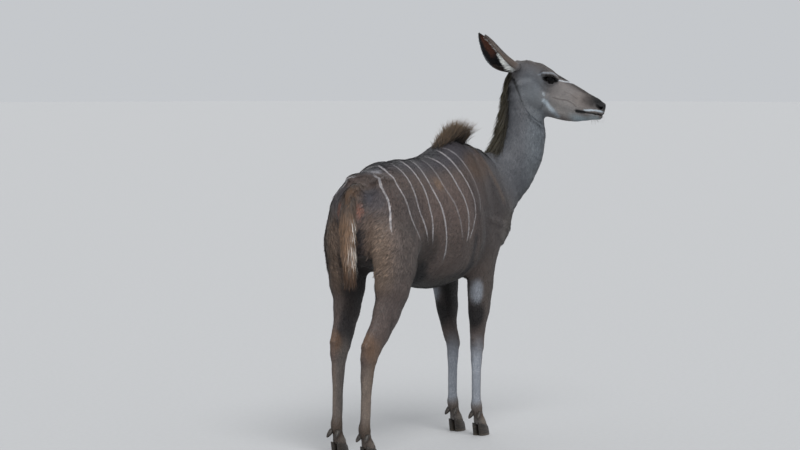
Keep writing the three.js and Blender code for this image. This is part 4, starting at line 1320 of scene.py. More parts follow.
def new_material(name, constants):
    """A material, the helper of its nodes, and its shader with the inputs named in constants set."""
    material = bpy.data.materials.new(name)
    material.use_nodes = True
    material.node_tree.nodes.clear()
    n = Nodes(material.node_tree)
    shader = n.add("ShaderNodeBsdfPrincipled", constants)
    n.add("ShaderNodeOutputMaterial", {"Surface": shader})
    return material, n, shader


def markings(n, looks, streaks):
    """The coat's colour at a point, from the shared group."""
    group = n.add("ShaderNodeGroup", node_tree=STATE["marking_group"])
    group.inputs["Stripe half width"].default_value = looks.stripe_width / 2
    group.inputs["Streaks"].default_value = streaks
    return group.outputs["Colour"]


def bumped(n, shader, height, strength, distance):
    bump = n.add("ShaderNodeBump", {"Height": height, "Strength": strength, "Distance": distance})
    n.feed(shader.inputs["Normal"], bump.outputs[0])


def skin_material(looks):
    """Short undercoat over the whole skin, and the wet black of the nose and lids."""
    material, n, shader = new_material("skin", {"Specular IOR Level": 0.28})
    base = markings(n, looks, 0.6)
    place = n.place()
    bare = n.attribute("bare")
    hairs = n.noise(place, 420, 4, 0.7)
    pores = n.add("ShaderNodeTexVoronoi", {"Vector": place, "Scale": 520.0}).outputs["Distance"]
    coated = n.scaled(base, n.times(n.band(hairs, 0.3, 0.7, 0.72, 1.0), 0.92))
    naked = n.scaled(base, n.band(pores, 0.1, 0.5, 0.8, 1.15))
    n.feed(shader.inputs["Base Color"], n.blend(bare, coated, naked))
    n.feed(shader.inputs["Roughness"], n.math("SUBTRACT", 0.88, n.times(bare, 0.36)))
    height = n.plus(n.times(hairs, n.math("SUBTRACT", 1.0, bare)), n.times(pores, n.times(bare, 0.6)))
    bumped(n, shader, height, 0.5, 0.0012)
    return material


def fur_material(name, looks, streaks=0.4, root_dark=0.35, spread=0.5):
    """Hair: the skin's markings, darker at the root and lighter at the tip, each tuft a little different."""
    constants = {"Specular IOR Level": 0.42, "Sheen Weight": 0.12, "Sheen Roughness": 0.4}
    material, n, shader = new_material(name, constants)
    tip = n.attribute("tip")
    chance = n.attribute("tuft_chance")
    glow = n.times(n.attribute("tip_glow"), n.math("POWER", tip, 2.0))
    light = n.plus(n.plus(1.0 - root_dark, n.times(tip, root_dark)), glow)
    varied = n.plus(n.swing(chance, spread), 1.0)
    colour = n.scaled(markings(n, looks, streaks), n.times(light, varied))
    warmth = n.math("ADD", n.times(chance, 0.3), n.times(glow, 0.2), clamp=True)
    warm = n.blend(warmth, colour, n.vector_math("MULTIPLY", colour, (1.12, 1.0, 0.84)))
    n.feed(shader.inputs["Base Color"], warm)
    n.feed(shader.inputs["Roughness"], n.band(chance, 0.0, 1.0, 0.5, 0.72))
    bumped(n, shader, n.noise(n.place(), 900, 2), 0.25, 0.0004)
    return material


# Coat.


def tuft_object(name, steps, lift, bend, taper=0.8):
    """One tuft, 1 long and 1 wide, which rises by lift at its root and bends back down by bend, in radians."""
    y, z = 0.0, -0.06
    points, tips = [], []
    for i in range(steps + 1):
        t = i / steps
        if i:
            angle = lift - bend * (t - 0.5 / steps)
            y += math.cos(angle) / steps
            z += math.sin(angle) / steps
        swell = 0.55 + 0.45 * math.sin(math.pi * min(t * 1.4, 0.5))
        width = swell * (1 - max(t - 0.45, 0) / 0.55) ** taper / 2
        ends = (-width, width) if i < steps else (0,)
        points += [(x, y, z) for x in ends]
        tips += [t] * len(ends)
    faces = [(2 * i, 2 * i + 1, 2 * i + 3, 2 * i + 2) for i in range(steps - 1)]
    mesh = new_mesh(name, points, [*faces, (2 * steps - 2, 2 * steps - 1, 2 * steps)])
    stamp(mesh, "tip", tips)
    stamp(mesh, "tuft_place", [(p[0] + 0.5, t, 0) for p, t in zip(points, tips)])
    mesh.shade_smooth()
    return place_object(name, mesh)


def coat_tree():
    """Grows tufts over a piece of skin: they follow its lie, length and cover, and keep its colours."""
    tree = bpy.data.node_groups.new("Coat of tufts", "GeometryNodeTree")
    ids = {"Skin": socket(tree, "Skin", "NodeSocketGeometry")}
    for name, kind, default in (
        ("Tuft", "Object", None), ("Tufts per square metre", "Float", 1000.0), ("Width", "Float", 0.003),
        ("Length spread", "Float", 0.25), ("Turn", "Float", 0.25), ("Roll", "Float", 0.2), ("Seed", "Int", SEED),
        ("Hair", "Material", None),
    ):
        ids[name] = socket(tree, name, "NodeSocket" + kind, default)
    socket(tree, "Coat", "NodeSocketGeometry", out=True)
    n = Nodes(tree)
    given = n.add("NodeGroupInput").outputs

    def named(name, kind="FLOAT"):
        return n.add("GeometryNodeInputNamedAttribute", {"Name": name}, data_type=kind).outputs["Attribute"]

    def chance(low, high, offset):
        seed = n.plus(given["Seed"], float(offset))
        return n.add("FunctionNodeRandomValue", {2: low, 3: high, "Seed": seed}, data_type="FLOAT").outputs[1]

    def store(geometry, name, value, kind="FLOAT", domain="POINT"):
        node = n.add("GeometryNodeStoreNamedAttribute", {"Geometry": geometry, "Name": name},
                     data_type=kind, domain=domain)
        n.feed(node.inputs["Value"], value)
        return node

    def turned_to(axis, vector, inputs=None, **settings):
        inputs = {"Vector": named(vector, "FLOAT_VECTOR"), **(inputs or {})}
        return n.add("FunctionNodeAlignRotationToVector", inputs, axis=axis, **settings)

    density = n.times(named("cover"), given["Tufts per square metre"])
    scatter = n.add("GeometryNodeDistributePointsOnFaces",
                    {"Mesh": given["Skin"], "Seed": given["Seed"], "Density": density})
    roots = store(scatter.outputs["Points"], "tuft_chance", chance(0.0, 1.0, 1))
    face = turned_to("Z", "facing", {"Rotation": turned_to("Y", "lie")}, pivot_axis="Y")
    angles = n.add("ShaderNodeCombineXYZ", {
        "X": n.times(given["Turn"], chance(-0.3, 0.3, 2)),
        "Y": n.times(given["Roll"], chance(-1.0, 1.0, 3)),
        "Z": n.times(given["Turn"], chance(-1.0, 1.0, 4)),
    })
    twist = n.add("FunctionNodeEulerToRotation", {"Euler": angles})
    rotation = n.add("FunctionNodeRotateRotation", {"Rotation": face, "Rotate By": twist}, rotation_space="LOCAL")
    spread = n.plus(1.0, n.times(given["Length spread"], chance(-1.0, 1.0, 5)))
    length = n.times(named("fur"), spread)
    width = n.times(n.times(given["Width"], named("tuft_width")), chance(0.75, 1.25, 6))
    size = n.add("ShaderNodeCombineXYZ", {"X": width, "Y": length, "Z": length})
    tuft = n.add("GeometryNodeObjectInfo", {"Object": given["Tuft"]}).outputs["Geometry"]
    grown = n.add("GeometryNodeInstanceOnPoints",
                  {"Points": roots, "Instance": tuft, "Rotation": rotation, "Scale": size})
    whole = n.add("GeometryNodeRealizeInstances", {"Geometry": grown})
    for name in ("stripe_run", "stripe_gap"):
        below = n.add("GeometryNodeSampleNearestSurface", {"Mesh": given["Skin"], "Value": named(name)},
                      data_type="FLOAT")
        whole = store(whole, name, below.outputs["Value"])
    place = n.vector_math("ADD", named("root_place", "FLOAT_VECTOR"),
                          n.scaled(named("tuft_place", "FLOAT_VECTOR"), 0.003))
    mapped = store(whole, "OFBake", place, "FLOAT2", "CORNER")
    painted = n.add("GeometryNodeSetMaterial", {"Geometry": mapped, "Material": given["Hair"]})
    n.feed(n.add("NodeGroupOutput").inputs[0], painted)
    STATE["coat_inputs"] = ids
    return tree


# What the coat's mesh keeps: the attributes that its materials read, and its own.
KEPT = {
    "position", "coat_colour", "tip_glow", "streak", "stripe_run", "stripe_gap", "stripe_strength", "tip",
    "tuft_chance", "OFBake", "material_index", "sharp_face",
}


def grow_coat(name, slot, cover, tuft, budget, width, material, where,
              overrides=None, turn=0.25, roll=0.2, spread=0.25):
    """Grows one piece of the coat on the skin's faces that cover reaches, with about budget tufts. where unwraps
    points, and overrides replaces what the tufts take from the skin."""
    data = STATE["skin"]
    corners = STATE["skin_faces"]
    used, faces = np.unique(corners[cover[corners].max(1) > 0.01], return_inverse=True)
    faces = faces.reshape(-1, 3)
    p = rows_of(STATE["skin_mesh"].vertices, "co")[used]
    mesh = new_mesh(name, p, faces.tolist())
    values = {"cover": cover, "fur": data.fur, "tuft_width": 1.0, "lie": data.lie, "facing": data.normal,
              "tip_glow": data.glow, **data.marks(), **(overrides or {})}
    for key, array in values.items():
        stamp(mesh, key, array[used] if np.ndim(array) else np.full(len(used), array))
    place = where(data.p[used])
    place = 0.01 + 0.98 * (place - place.min(0)) / (place.max(0) - place.min(0))
    stamp(mesh, "root_place", np.hstack([place, np.zeros((len(used), 1))]))
    a, b, c = (p[faces[:, k]] for k in range(3))
    area = np.linalg.norm(np.cross(b - a, c - a), axis=1) / 2
    reach = (area * cover[used][faces].mean(1)).sum()
    piece = place_object(name, mesh)
    grower = piece.modifiers.new("coat", "NODES")
    grower.node_group = STATE["coat_tree"]
    for key, value in {
        "Tuft": tuft, "Tufts per square metre": budget / reach, "Width": width, "Length spread": spread,
        "Turn": turn, "Roll": roll, "Seed": SEED + len(name), "Hair": material,
    }.items():
        grower[STATE["coat_inputs"][key]] = value
    made = plain_mesh(piece, name)
    for attribute in [a.name for a in made.attributes]:
        if attribute not in KEPT and not attribute.startswith("."):
            made.attributes.remove(made.attributes[attribute])
    if len(made.polygons) < budget:
        raise RuntimeError(f"{name} grew too few tufts")
    return finish_piece(piece, slot)


# Sizes and colours that a user would change.


class KuduCoatSettings(bpy.types.PropertyGroup):
    tufts: IntProperty(
        name="Tufts", description="Tufts on one flank", default=60000, min=1000, max=65000,
    )
    width: FloatProperty(
        name="Tuft width", description="Width of a tuft on the body", default=0.0032, unit="LENGTH",
    )
    stripe_width: FloatProperty(
        name="Stripe width", description="Width of the white stripes", default=0.005, unit="LENGTH",
    )
    mane: FloatProperty(
        name="Mane length", description="Length of the hair on the nape", default=0.074, unit="LENGTH",
    )
    crest: FloatProperty(
        name="Crest length", description="Length of the hair on the withers", default=0.074, unit="LENGTH",
    )
    tail: FloatProperty(
        name="Tail hair", description="Length of the tail's hair", default=0.082, unit="LENGTH",
    )


class KuduEyeSettings(bpy.types.PropertyGroup):
    iris: FloatVectorProperty(
        name="Iris", description="Colour of the iris", subtype="COLOR", size=3, default=tuple(linear((13, 10, 9)))
    )
    pupil: FloatProperty(name="Pupil", description="Half length of the pupil over the eye's radius", default=0.42)


class KuduStageSettings(bpy.types.PropertyGroup):
    floor: FloatVectorProperty(
        name="Floor", description="Colour of the floor", subtype="COLOR", size=3, default=(0.45, 0.455, 0.46)
    )
    camera_place: FloatVectorProperty(
        name="Camera", description="Where the camera stands", subtype="TRANSLATION", size=3,
        default=(-9.894, -6.833, 1.816),
    )
    heading: FloatProperty(
        name="Heading", description="Turn of the view from straight ahead", subtype="ANGLE",
        default=math.radians(35.76),
    )
    pitch: FloatProperty(
        name="Pitch", description="Tilt of the view", subtype="ANGLE", default=math.radians(-4.41)
    )
    lens: FloatProperty(name="Lens", description="Focal length in millimetres", default=132.84)
    key: FloatProperty(name="Key light", description="Strength of the main light", default=2.0)
    sky: FloatProperty(name="Sky", description="Brightness of the surroundings", default=0.6)


# Pieces.


# Each light: where it shines from, its strength beside the main light's, and its softness in degrees.
LIGHTS = [("key", (-2.6, -3.4, 6.4), 1, 34), ("rim", (3.4, 1.6, 5.0), 0.35, 60)]
# Each piece of long hair: tufts, width, turn and roll of the tufts in radians, and spread of their length.
LONG_HAIR = {
    "mane": (5200, 0.0022, 0.55, 1.4, 0.65),
    "crest": (3200, 0.002, 0.6, 1.5, 0.6),
    "tail_hair": (15000, 0.0032, 0.2, 1.2, 0.4),
    "ear_fringe": (2400, 0.0015, 0.4, 0.8, 0.25),
    "lashes": (420, 0.0009, 0.35, 0.2, 0.25),
    "whiskers": (90, 0.0006, 0.5, 0.4, 0.25),
}


class KUDU_OT_stage(bpy.types.Operator):
    """Floor, soft lights, surroundings and the camera at the photograph's angle"""

    bl_idname = "kudu.stage"
    bl_label = "Stage"

    def execute(self, context):
        looks = context.scene.kudu_stage
        radius, below, sides = 40, -0.0004, 64
        turns = np.linspace(0, 2 * math.pi, sides + 1)[:-1]
        rim = columns(sides, radius * np.cos(turns), radius * np.sin(turns), below)
        mesh = new_mesh("floor", rim, [list(range(sides))])
        floor = place_object("floor", mesh)
        material, n, shader = new_material("studio floor", {"Roughness": 0.9})
        tone = n.band(n.noise(n.place(), 45, 3), 0.3, 0.7, 0.985, 1.015)
        n.feed(shader.inputs["Base Color"], n.scaled(tuple(looks.floor), tone))
        mesh.materials.append(material)
        target = Vector((0.0, 0.0, 0.9))
        for name, place, power, spread in LIGHTS:
            light = bpy.data.lights.new(name, "SUN")
            light.energy, light.angle = looks.key * power, math.radians(spread)
            lamp = bpy.data.objects.new(name, light)
            lamp.location = place
            lamp.rotation_euler = (target - Vector(place)).to_track_quat("-Z", "Y").to_euler()
            context.collection.objects.link(lamp)
        world = bpy.data.worlds.new("studio")
        world.use_nodes = True
        backdrop = world.node_tree.nodes["Background"]
        backdrop.inputs["Color"].default_value = (0.93, 0.96, 1.0, 1.0)
        backdrop.inputs["Strength"].default_value = looks.sky
        context.scene.world = world
        context.scene.view_settings.view_transform = "Standard"
        camera = bpy.data.objects.new("camera", bpy.data.cameras.new("camera"))
        camera.data.lens, camera.data.sensor_width = looks.lens, 36
        camera.data.clip_end = 200
        camera.location = looks.camera_place
        camera.rotation_euler = (math.pi / 2 + looks.pitch, 0, looks.heading - math.pi / 2)
        context.collection.objects.link(camera)
        context.scene.camera = camera
        return {"FINISHED"}


class KUDU_OT_skin(bpy.types.Operator):
    """One closed skin from nose to hooves, with the ears' cups, lids, mouth and nostrils"""

    bl_idname = "kudu.skin"
    bl_label = "Skin"

    def execute(self, context):
        skin = whole_skin()
        mesh = skin.data
        largest_surface(mesh)
        with edited(mesh) as bm:
            bmesh.ops.triangulate(bm, faces=bm.faces)
        place = rows_of(mesh.vertices, "co")
        place_points(mesh, place)
        mesh.shade_smooth()
        data = Skin(place, rows_of(mesh.vertex_normals, "vector"))
        STATE["skin"], STATE["skin_mesh"] = data, mesh
        corners = np.empty(len(mesh.polygons) * 3, np.int32)
        mesh.polygons.foreach_get("vertices", corners)
        STATE["skin_faces"] = corners.reshape(-1, 3)
        for name, values in {**data.marks(), "bare": data.bare}.items():
            stamp(mesh, name, values)
        STATE["marking_group"] = marking_group()
        mesh.materials.clear()
        mesh.materials.append(skin_material(context.scene.kudu_coat))
        nodes = ["torso", "neck", "head", "tail", "ear_right", "ear_left"]
        for side in ("right", "left"):
            nodes += [f"forearm_{side}", f"thigh_{side}", f"cannon_fore_{side}", f"cannon_hind_{side}"]
        finish_piece(skin, "coat_trunk", *nodes)
        return {"FINISHED"}


def zones():
    """Where each part of the coat grows, from 0 to 1 at each point of the skin."""
    data = STATE["skin"]
    p, share = data.p, data.share
    fore_leg = ramp(p[:, 2], 716, 700) * (p[:, 0] > -80)
    hind_leg = ramp(p[:, 2], 756, 740) * (p[:, 0] <= -80)
    no_leg = (1 - fore_leg) * (1 - hind_leg)
    ears = np.clip(data.ear * 4, 0, 1)
    head = np.maximum(ramp(share["head"], 0.46, 0.54), ears) * no_leg
    neck = ramp(share["neck"], 0.46, 0.54) * (1 - head)
    tail = ramp(share["tail"], 0.5, 0.7) * (1 - hind_leg)
    trunk = (1 - head) * (1 - neck) * no_leg * (1 - tail)
    trunk = trunk * (1 - 0.75 * soft_spot(data.leg_points("trunk"), *BARE_RUMP[:2], 0.3))
    rump = ramp(p[:, 0], -240, -252)
    right = ramp(p[:, 1], 4, -4)
    return {
        "fore_legs": fore_leg, "hind_legs": hind_leg, "ears": ears, "neck": neck, "rump": trunk * rump,
        "head": head * (1 - ramp(data.bare, 0.15, 0.5)) * (1 - ears),
        "flank_right": trunk * (1 - rump) * right, "flank_left": trunk * (1 - rump) * (1 - right),
    }


def form_of(part, which=0):
    return [form for form, _, name in FORMS if name == part][which]


class KUDU_OT_coat(bpy.types.Operator):
    """Short flat coat of the trunk, neck, legs, head and ears"""

    bl_idname = "kudu.coat"
    bl_label = "Coat"

    def execute(self, context):
        looks = context.scene.kudu_coat
        STATE["coat_tree"] = coat_tree()
        area = zones()
        body_fur = fur_material("body hair", looks, 0.85)
        rump_fur = fur_material("rump hair", looks, 1.1, 0.45, 0.8)
        neck_fur = fur_material("neck hair", looks, 0.9)
        face_fur = fur_material("face hair", looks, 0.35, 0.2, 0.22)
        short = tuft_object("short_tuft", 2, 0.36, 0.44)
        close = tuft_object("close_tuft", 2, 0.24, 0.3)
        trunk = form_of("trunk").wrap
        buttock = {"tuft_width": 1 + 0.7 * STATE["skin"].buttock}
        for name, slot, tuft, share, width, fur, where, more in (
            ("flank_right", "trunk", short, 1, looks.width, body_fur, trunk, {}),
            ("flank_left", "trunk", short, 1, looks.width, body_fur, trunk, {}),
            ("rump", "trunk", short, 0.95, looks.width, rump_fur, trunk, {"turn": 0.34, "overrides": buttock}),
            ("neck", "neck", short, 0.9, looks.width * 0.85, neck_fur, NECK_FORM.wrap, {}),
            ("head", "head", close, 1, 0.0016, face_fur, form_of("head").wrap, {}),
            ("ears", "head", close, 0.42, 0.0018, face_fur, both_ears, {}),
            ("fore_legs", "leg", close, 0.9, 0.0024, body_fur, both_legs("fore"), {}),
            ("hind_legs", "leg", close, 0.9, 0.0024, body_fur, both_legs("hind"), {}),
        ):
            budget = int(looks.tufts * share)
            grow_coat(f"coat_{name}", f"coat_{slot}", area[name], tuft, budget, width, fur, where, **more)
        bpy.data.objects.remove(short)
        bpy.data.objects.remove(close)
        return {"FINISHED"}


def side_by_side(left, right_map, left_map):
    """Two unwraps next to each other."""
    place = np.where(left[:, None], left_map, right_map)
    place[:, 0] = place[:, 0] * 0.48 + np.where(left, 0.52, 0)
    return place


def both_legs(kind):
    """The unwrap of a pair of legs."""
    right, left = form_of(kind, 0), form_of(kind, 1)
    return lambda p: side_by_side(p[:, 1] > 0, right.wrap(p), left.wrap(p))


def both_ears(p):
    """The unwrap of the ears, with the inside of each cup after its back."""
    maps = []
    for side in (-1, 1):
        _, t, share, inside = near_ear(p, side)
        maps.append(np.stack([t * 0.5 + 0.5 * (inside > 0.5), np.clip(share, -1.2, 1.2) * 0.5], 1))
    left = (p - np.array(HEAD_POLL)) @ OUT > 0
    return side_by_side(left, maps[0], maps[1])


def grow_long(name, slot, cover, tuft, material, where, overrides):
    budget, width, turn, roll, spread = LONG_HAIR[name]
    grow_coat(name, slot, cover, tuft, budget, width, material, where, overrides, turn, roll, spread)


class KUDU_OT_long_hair(bpy.types.Operator):
    """Mane of the nape, crest of the withers, tail, the ears' fringes, lashes and whiskers"""

    bl_idname = "kudu.long_hair"
    bl_label = "Long hair"

    def execute(self, context):
        looks = context.scene.kudu_coat
        data = STATE["skin"]
        p, share = data.p, data.share
        long_fur = fur_material("long hair", looks, 0.3, 0.5, 0.6)
        tail_fur = fur_material("tail hair", looks, 0.5, 0.6, 0.9)
        fringe_fur = fur_material("fringe hair", looks, 0.1, 0.2, 0.3)
        lock = tuft_object("long_tuft", 4, 0.1, 0.5, 0.7)
        wave = tuft_object("tail_tuft", 5, 0.35, 0.5, 0.6)
        index, blend, _ = NECK_FORM.nearest(p)
        offset = p - NECK_FORM.place[index]
        front = (offset * NECK_FORM.front[index]).sum(1)
        side = (offset * NECK_FORM.side[index]).sum(1)
        along = (index + blend) / (len(NECK_FORM.place) - 1)
        poll = (p - np.array(HEAD_POLL)) @ FACE < 20
        nape = ramp(np.abs(side), 20, 8) * (front < 0) * ramp(along, 0.2, 0.34) * (1 - data.ear)
        nape = nape * (share["neck"] + share["head"] * poll > 0.4) * (p[:, 0] > 290)
        down = -NECK_FORM.heading(p)
        swell = np.sin(math.pi * np.clip(0.2 + 0.7 * (along - 0.3) / 0.7, 0, 1))
        grow_long("mane", "coat_neck", nape, lock, long_fur, NECK_FORM.wrap, {
            "lie": unit(-0.8 * NECK_FORM.front[index] + down + 0.012 * side[:, None] * NECK_FORM.side[index]),
            "facing": -down, "fur": looks.mane * (0.7 + 0.3 * swell),
            "coat_colour": one_colour(len(p), (40, 37, 28)), "tip_glow": 2.6,
        })
        t = (p[:, 0] - 66) / 192
        crest = ramp(np.abs(p[:, 1]), 24, 10) * ramp(t, -0.04, 0.2) * ramp(t, 1.02, 0.86) * (p[:, 2] > 1130)
        length = np.interp(t, (0, 0.25, 0.5, 0.78, 0.92, 1), (0.25, 0.45, 0.85, 1.1, 0.8, 0.45))
        grow_long("crest", "coat_trunk", crest, lock, long_fur, form_of("trunk").wrap, {
            "lie": unit(columns(len(p), 0.1 + 0.42 * t, p[:, 1] / 110, 1)),
            "facing": columns(len(p), -1, 0, 0.2), "fur": looks.crest * length,
            "coat_colour": one_colour(len(p), (46, 38, 30)), "stripe_strength": 0.0, "tip_glow": 4.0,
        })
        dock = form_of("tail")
        reach = dock.wrap(p)[:, 0]
        tail = ramp(share["tail"], 0.4, 0.7) * ramp(p[:, 0], -500, -530) * (p[:, 2] < 1070)
        edge = data.normal @ TAIL_EDGE * ramp(p[:, 2], 1040, 980) * ramp(p[:, 2], 790, 840)
        low = ramp(p[:, 2], 880, 800) * ramp(edge, 0.8, 0.6)
        colours = tint(one_colour(len(p), (70, 60, 54)), (97, 78, 63), ramp(p[:, 2], 1045, 985))
        colours = tint(colours, (192, 190, 188), ramp(edge, 0.55, 0.85))
        grow_long("tail_hair", "coat_tail", tail, wave, tail_fur, dock.wrap, {
            "lie": unit(-UP + (0.17 - 0.05 * reach)[:, None] * data.normal), "facing": data.normal,
            "fur": looks.tail * (0.75 + 0.3 * reach), "coat_colour": tint(colours, (32, 23, 18), low * 0.9),
            "tip_glow": 1.2 + 2.4 * low,
        })
        margin = ramp(data.ear_t, 0.52, 0.36) + 0.07 * ramp(data.ear_t, 0.94, 0.8)
        margin = margin * data.ear * data.ear_inside * ramp(data.ear_share, 0.66, 0.88)
        lie = data.lie.copy()
        for ear_side, (on, _, _, _) in data.ears.items():
            _, way, mouth, across = ear_frame(ear_side)
            lie[on] = unit(0.75 * way + 0.3 * mouth + 0.6 * ear_side * across)
        grow_long("ear_fringe", "coat_head", margin, lock, fringe_fur, both_ears, {
            "lie": lie, "fur": 0.02 * ramp(data.ear_t, 0.6, 0.1) + 0.014,
            "coat_colour": one_colour(len(p), (214, 218, 218)),
        })
        upper = np.zeros(len(p))
        for eye_side in (-1, 1):
            slit, lift, out, opening = eye_axes(p, eye_side)
            rim = ramp(np.abs(opening - 1.6), 1.6, 0.6)
            upper = np.maximum(upper, (lift > 1) * (out > 4) * rim * (np.abs(slit) < 22))
        way = np.sign((p - np.array(HEAD_POLL)) @ OUT)[:, None] * OUT
        head = form_of("head").wrap
        grow_long("lashes", "coat_head", upper, lock, fringe_fur, head, {
            "lie": unit(0.8 * way + 0.25 * CROWN - 0.2 * FACE), "facing": columns(len(p), *-CROWN), "fur": 0.014,
            "tip_glow": 0.0, "coat_colour": one_colour(len(p), (24, 20, 18)),
        })
        muzzle = soft_spot(data.head, (390, -26, -50), (34, 22, 28)) * (1 - data.bare)
        grow_long("whiskers", "coat_head", muzzle, lock, fringe_fur, head, {
            "lie": unit(data.normal + 0.5 * FACE - 0.3 * CROWN), "facing": columns(len(p), *CROWN), "fur": 0.026,
            "coat_colour": one_colour(len(p), (60, 54, 50)),
        })
        bpy.data.objects.remove(lock)
        bpy.data.objects.remove(wave)
        return {"FINISHED"}


class KUDU_OT_eyes(bpy.types.Operator):
    """Dark wet eyes with a wide pupil"""

    bl_idname = "kudu.eyes"
    bl_label = "Eyes"

    def execute(self, context):
        looks = context.scene.kudu_eye
        material, n, shader = new_material(
            "eye", {"Specular IOR Level": 0.06, "Coat Weight": 0.1, "Coat Roughness": 0.03}
        )
        across, lift, gaze = (n.attribute(name) for name in ("eye_across", "eye_lift", "eye_gaze"))
        across = n.math("POWER", n.math("DIVIDE", across, looks.pupil), 2.0)
        lift = n.math("POWER", n.math("DIVIDE", lift, looks.pupil * 0.55), 2.0)
        oval = n.math("SQRT", n.plus(across, lift))
        ring = n.scaled(tuple(looks.iris), n.band(n.noise(n.place(), 420, 3), 0.3, 0.7, 0.6, 1.3))
        colour = n.blend(n.band(oval, 0.9, 1.1), rgba((4, 4, 6)), ring)
        colour = n.blend(n.band(gaze, 0.86, 0.96), colour, rgba((20, 15, 14)))
        n.feed(shader.inputs["Base Color"], colour)
        n.feed(shader.inputs["Roughness"], n.band(gaze, 0.8, 1.0, 0.12, 0.3))
        tilt = math.radians(LIDS["tilt"])
        slit = FACE * math.cos(tilt) + CROWN * math.sin(tilt)
        rise = CROWN * math.cos(tilt) - FACE * math.sin(tilt)
        for side, name in ((-1, "right"), (1, "left")):
            bm = bmesh.new()
            bmesh.ops.create_uvsphere(bm, u_segments=56, v_segments=36, radius=1)
            mesh = bpy.data.meshes.new(f"eyeball_{name}")
            bm.to_mesh(mesh)
            bm.free()
            ball = rows_of(mesh.vertices, "co")
            gaze = np.hypot(ball[:, 0], ball[:, 1]) + (ball[:, 2] < 0)
            bulge = 1 + 0.05 * ramp(gaze, 0.62, 0.3)
            axes = np.array([-side * slit, rise, side * OUT])
            place_points(mesh, EYE_CENTRE[side] + EYE["radius"] * bulge[:, None] * (ball @ axes))
            for key, values in (("eye_across", ball[:, 0]), ("eye_lift", ball[:, 1]), ("eye_gaze", gaze)):
                stamp(mesh, key, values)
            outward(mesh, lambda face: True)
            mesh.materials.append(material)
            finish_piece(place_object(f"eyeball_{name}", mesh), "eye", f"eye_{name}")
        return {"FINISHED"}


# Hooves: each row is a height from sole to coronet, or a place from root to tip, with its size.
CLAW = {"ahead": 8, "length": 68, "width": 27, "sides": 44, "gap": 0.8, "waist": 26, "above": 36}
CLAW_ROWS = [(0, 0.95), (0.03, 0.985), (0.1, 1.0), (0.3, 1), (0.5, 1), (0.7, 1), (0.88, 1), (1, 0.985)]
DEWCLAW_SIDES = 20
DEWCLAW_ROWS = [(0, 10.6), (0.2, 11), (0.5, 10.2), (0.75, 7.8), (0.9, 4.6), (0.97, 2.2)]


def shell_faces(rows, sides):
    """The faces of a closed shell of rings."""
    last = (rows - 1) * sides
    return [*ring_faces(rows, sides), tuple(range(sides)), tuple(range(last, last + sides))]


def claw_shell(foot, y, toe):
    """One hoof: an almond on its flat sole, cut at the slant of the coronet. It leans back above its waist."""
    x, sides, waist = foot + CLAW["ahead"], CLAW["sides"], CLAW["waist"]
    middle = y + toe * (CLAW["width"] / 2 + CLAW["gap"])
    points = []
    for t, swell in CLAW_ROWS:
        for i in range(sides):
            angle = 2 * math.pi * i / sides
            nose, flank = math.cos(angle), math.sin(angle)
            reach = CLAW["length"] * (0.58 if nose > 0 else 0.42)
            flat = abs(flank) ** (1.25 if nose > 0 else 0.8) * (1 if flank > 0 else -1)
            z = t * (CORONET["height"] - CORONET["slant"] * reach * nose * 0.85)
            low, high = min(z / waist, 1), max(z - waist, 0) / CLAW["above"]
            size = (1 - 0.04 * low - 0.16 * high) * swell
            ahead = x - 6 * low - 11 * high + reach * nose * size
            points.append((ahead, middle + CLAW["width"] / 2 * flat * size, z))
    return points, shell_faces(len(CLAW_ROWS), sides)


def dewclaw_shell(foot, y, toe):
    """One dewclaw: a blunt cone that points back and down."""
    root, tip = np.array([foot - 26, y + toe * 15, 102]), np.array([foot - 52, y + toe * 21, 72])
    across = np.array([0, 1.0, 0])
    through = np.cross(unit(tip - root), across)
    turns = 2 * math.pi * np.arange(DEWCLAW_SIDES)[:, None] / DEWCLAW_SIDES
    rings = [root + (tip - root) * t + size * (across * np.cos(turns) + 0.8 * through * np.sin(turns))
             for t, size in DEWCLAW_ROWS]
    return [tuple(p) for p in np.vstack(rings)], shell_faces(len(DEWCLAW_ROWS), DEWCLAW_SIDES)


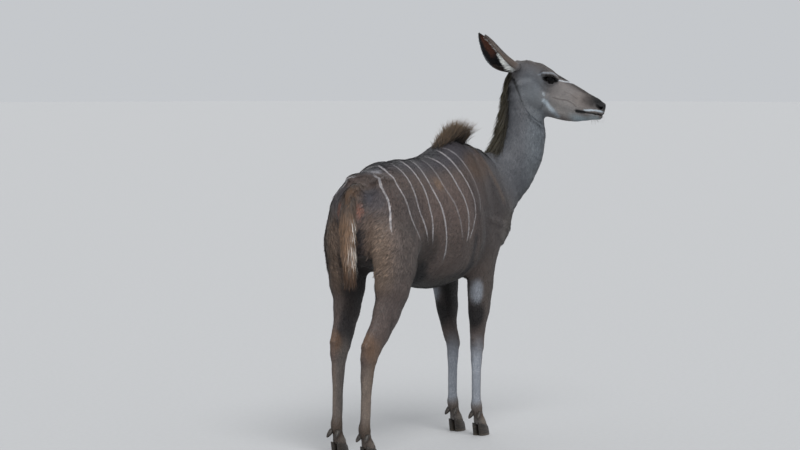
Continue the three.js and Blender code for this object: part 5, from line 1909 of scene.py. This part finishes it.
class KUDU_OT_hooves(bpy.types.Operator):
    """Two claws and two dewclaws on each foot"""

    bl_idname = "kudu.hooves"
    bl_label = "Hooves"

    def execute(self, context):
        material, n, shader = new_material("hoof horn", {})
        place = n.place()
        rings = n.noise(n.add("ShaderNodeMapping", {"Vector": place, "Scale": (60.0, 60.0, 420.0)}), 1, 4)
        grain = n.noise(place, 380, 3)
        height = n.add("ShaderNodeSeparateXYZ", {"Vector": place}).outputs["Z"]
        colour = n.blend(n.band(rings, 0.3, 0.7), rgba((26, 24, 23)), rgba((66, 58, 50)))
        colour = n.blend(n.band(height, 0.012, 0.0), colour, rgba((84, 76, 66)))
        n.feed(shader.inputs["Base Color"], colour)
        n.feed(shader.inputs["Roughness"], n.band(grain, 0.3, 0.7, 0.38, 0.6))
        bumped(n, shader, n.plus(rings, n.times(grain, 0.4)), 0.5, 0.001)
        for piece, claw, shell in (("hooves", "claw", claw_shell), ("dewclaws", "dewclaw", dewclaw_shell)):
            points, faces, nodes = [], [], []
            for kind, x, y in (("fore", 280, 75), ("hind", -517, 85)):
                for side, where in ((-1, "right"), (1, "left")):
                    foot = x + (STEP_LEFT[kind][1] if side > 0 else 0)
                    for toe in (-1, 1):
                        more, rings = shell(foot, side * y, toe)
                        faces += [[len(points) + i for i in face] for face in rings]
                        points += more
                        nodes.append(f"{claw}_{kind}_{where}_{'outer' if toe == side else 'inner'}")
            mesh = outward(new_mesh(piece, metres(points), faces), lambda face: len(face.verts) == 4)
            mesh.materials.append(material)
            finish_piece(place_object(piece, mesh), "horn", *nodes)
        return {"FINISHED"}


class KUDU_PT_panel(bpy.types.Panel):
    """Lists the kudu's pieces"""

    bl_idname = "KUDU_PT_panel"
    bl_label = "Kudu"
    bl_space_type = "VIEW_3D"
    bl_region_type = "UI"
    bl_category = "Kudu"

    def draw(self, context):
        for operator in OPERATORS:
            self.layout.operator(operator.bl_idname)


OPERATORS = (KUDU_OT_stage, KUDU_OT_skin, KUDU_OT_coat, KUDU_OT_long_hair, KUDU_OT_eyes, KUDU_OT_hooves)
SETTINGS = {"kudu_coat": KuduCoatSettings, "kudu_eye": KuduEyeSettings, "kudu_stage": KuduStageSettings}


def register():
    for kind in (*SETTINGS.values(), *OPERATORS, KUDU_PT_panel):
        bpy.utils.register_class(kind)
    for name, kind in SETTINGS.items():
        setattr(bpy.types.Scene, name, PointerProperty(type=kind))


def unregister():
    for name in SETTINGS:
        delattr(bpy.types.Scene, name)
    for kind in (KUDU_PT_panel, *OPERATORS, *SETTINGS.values()):
        bpy.utils.unregister_class(kind)


def main():
    register()
    for operator in OPERATORS:
        getattr(bpy.ops.kudu, operator.bl_idname.split(".")[1])()


if __name__ == "__main__":
    main()
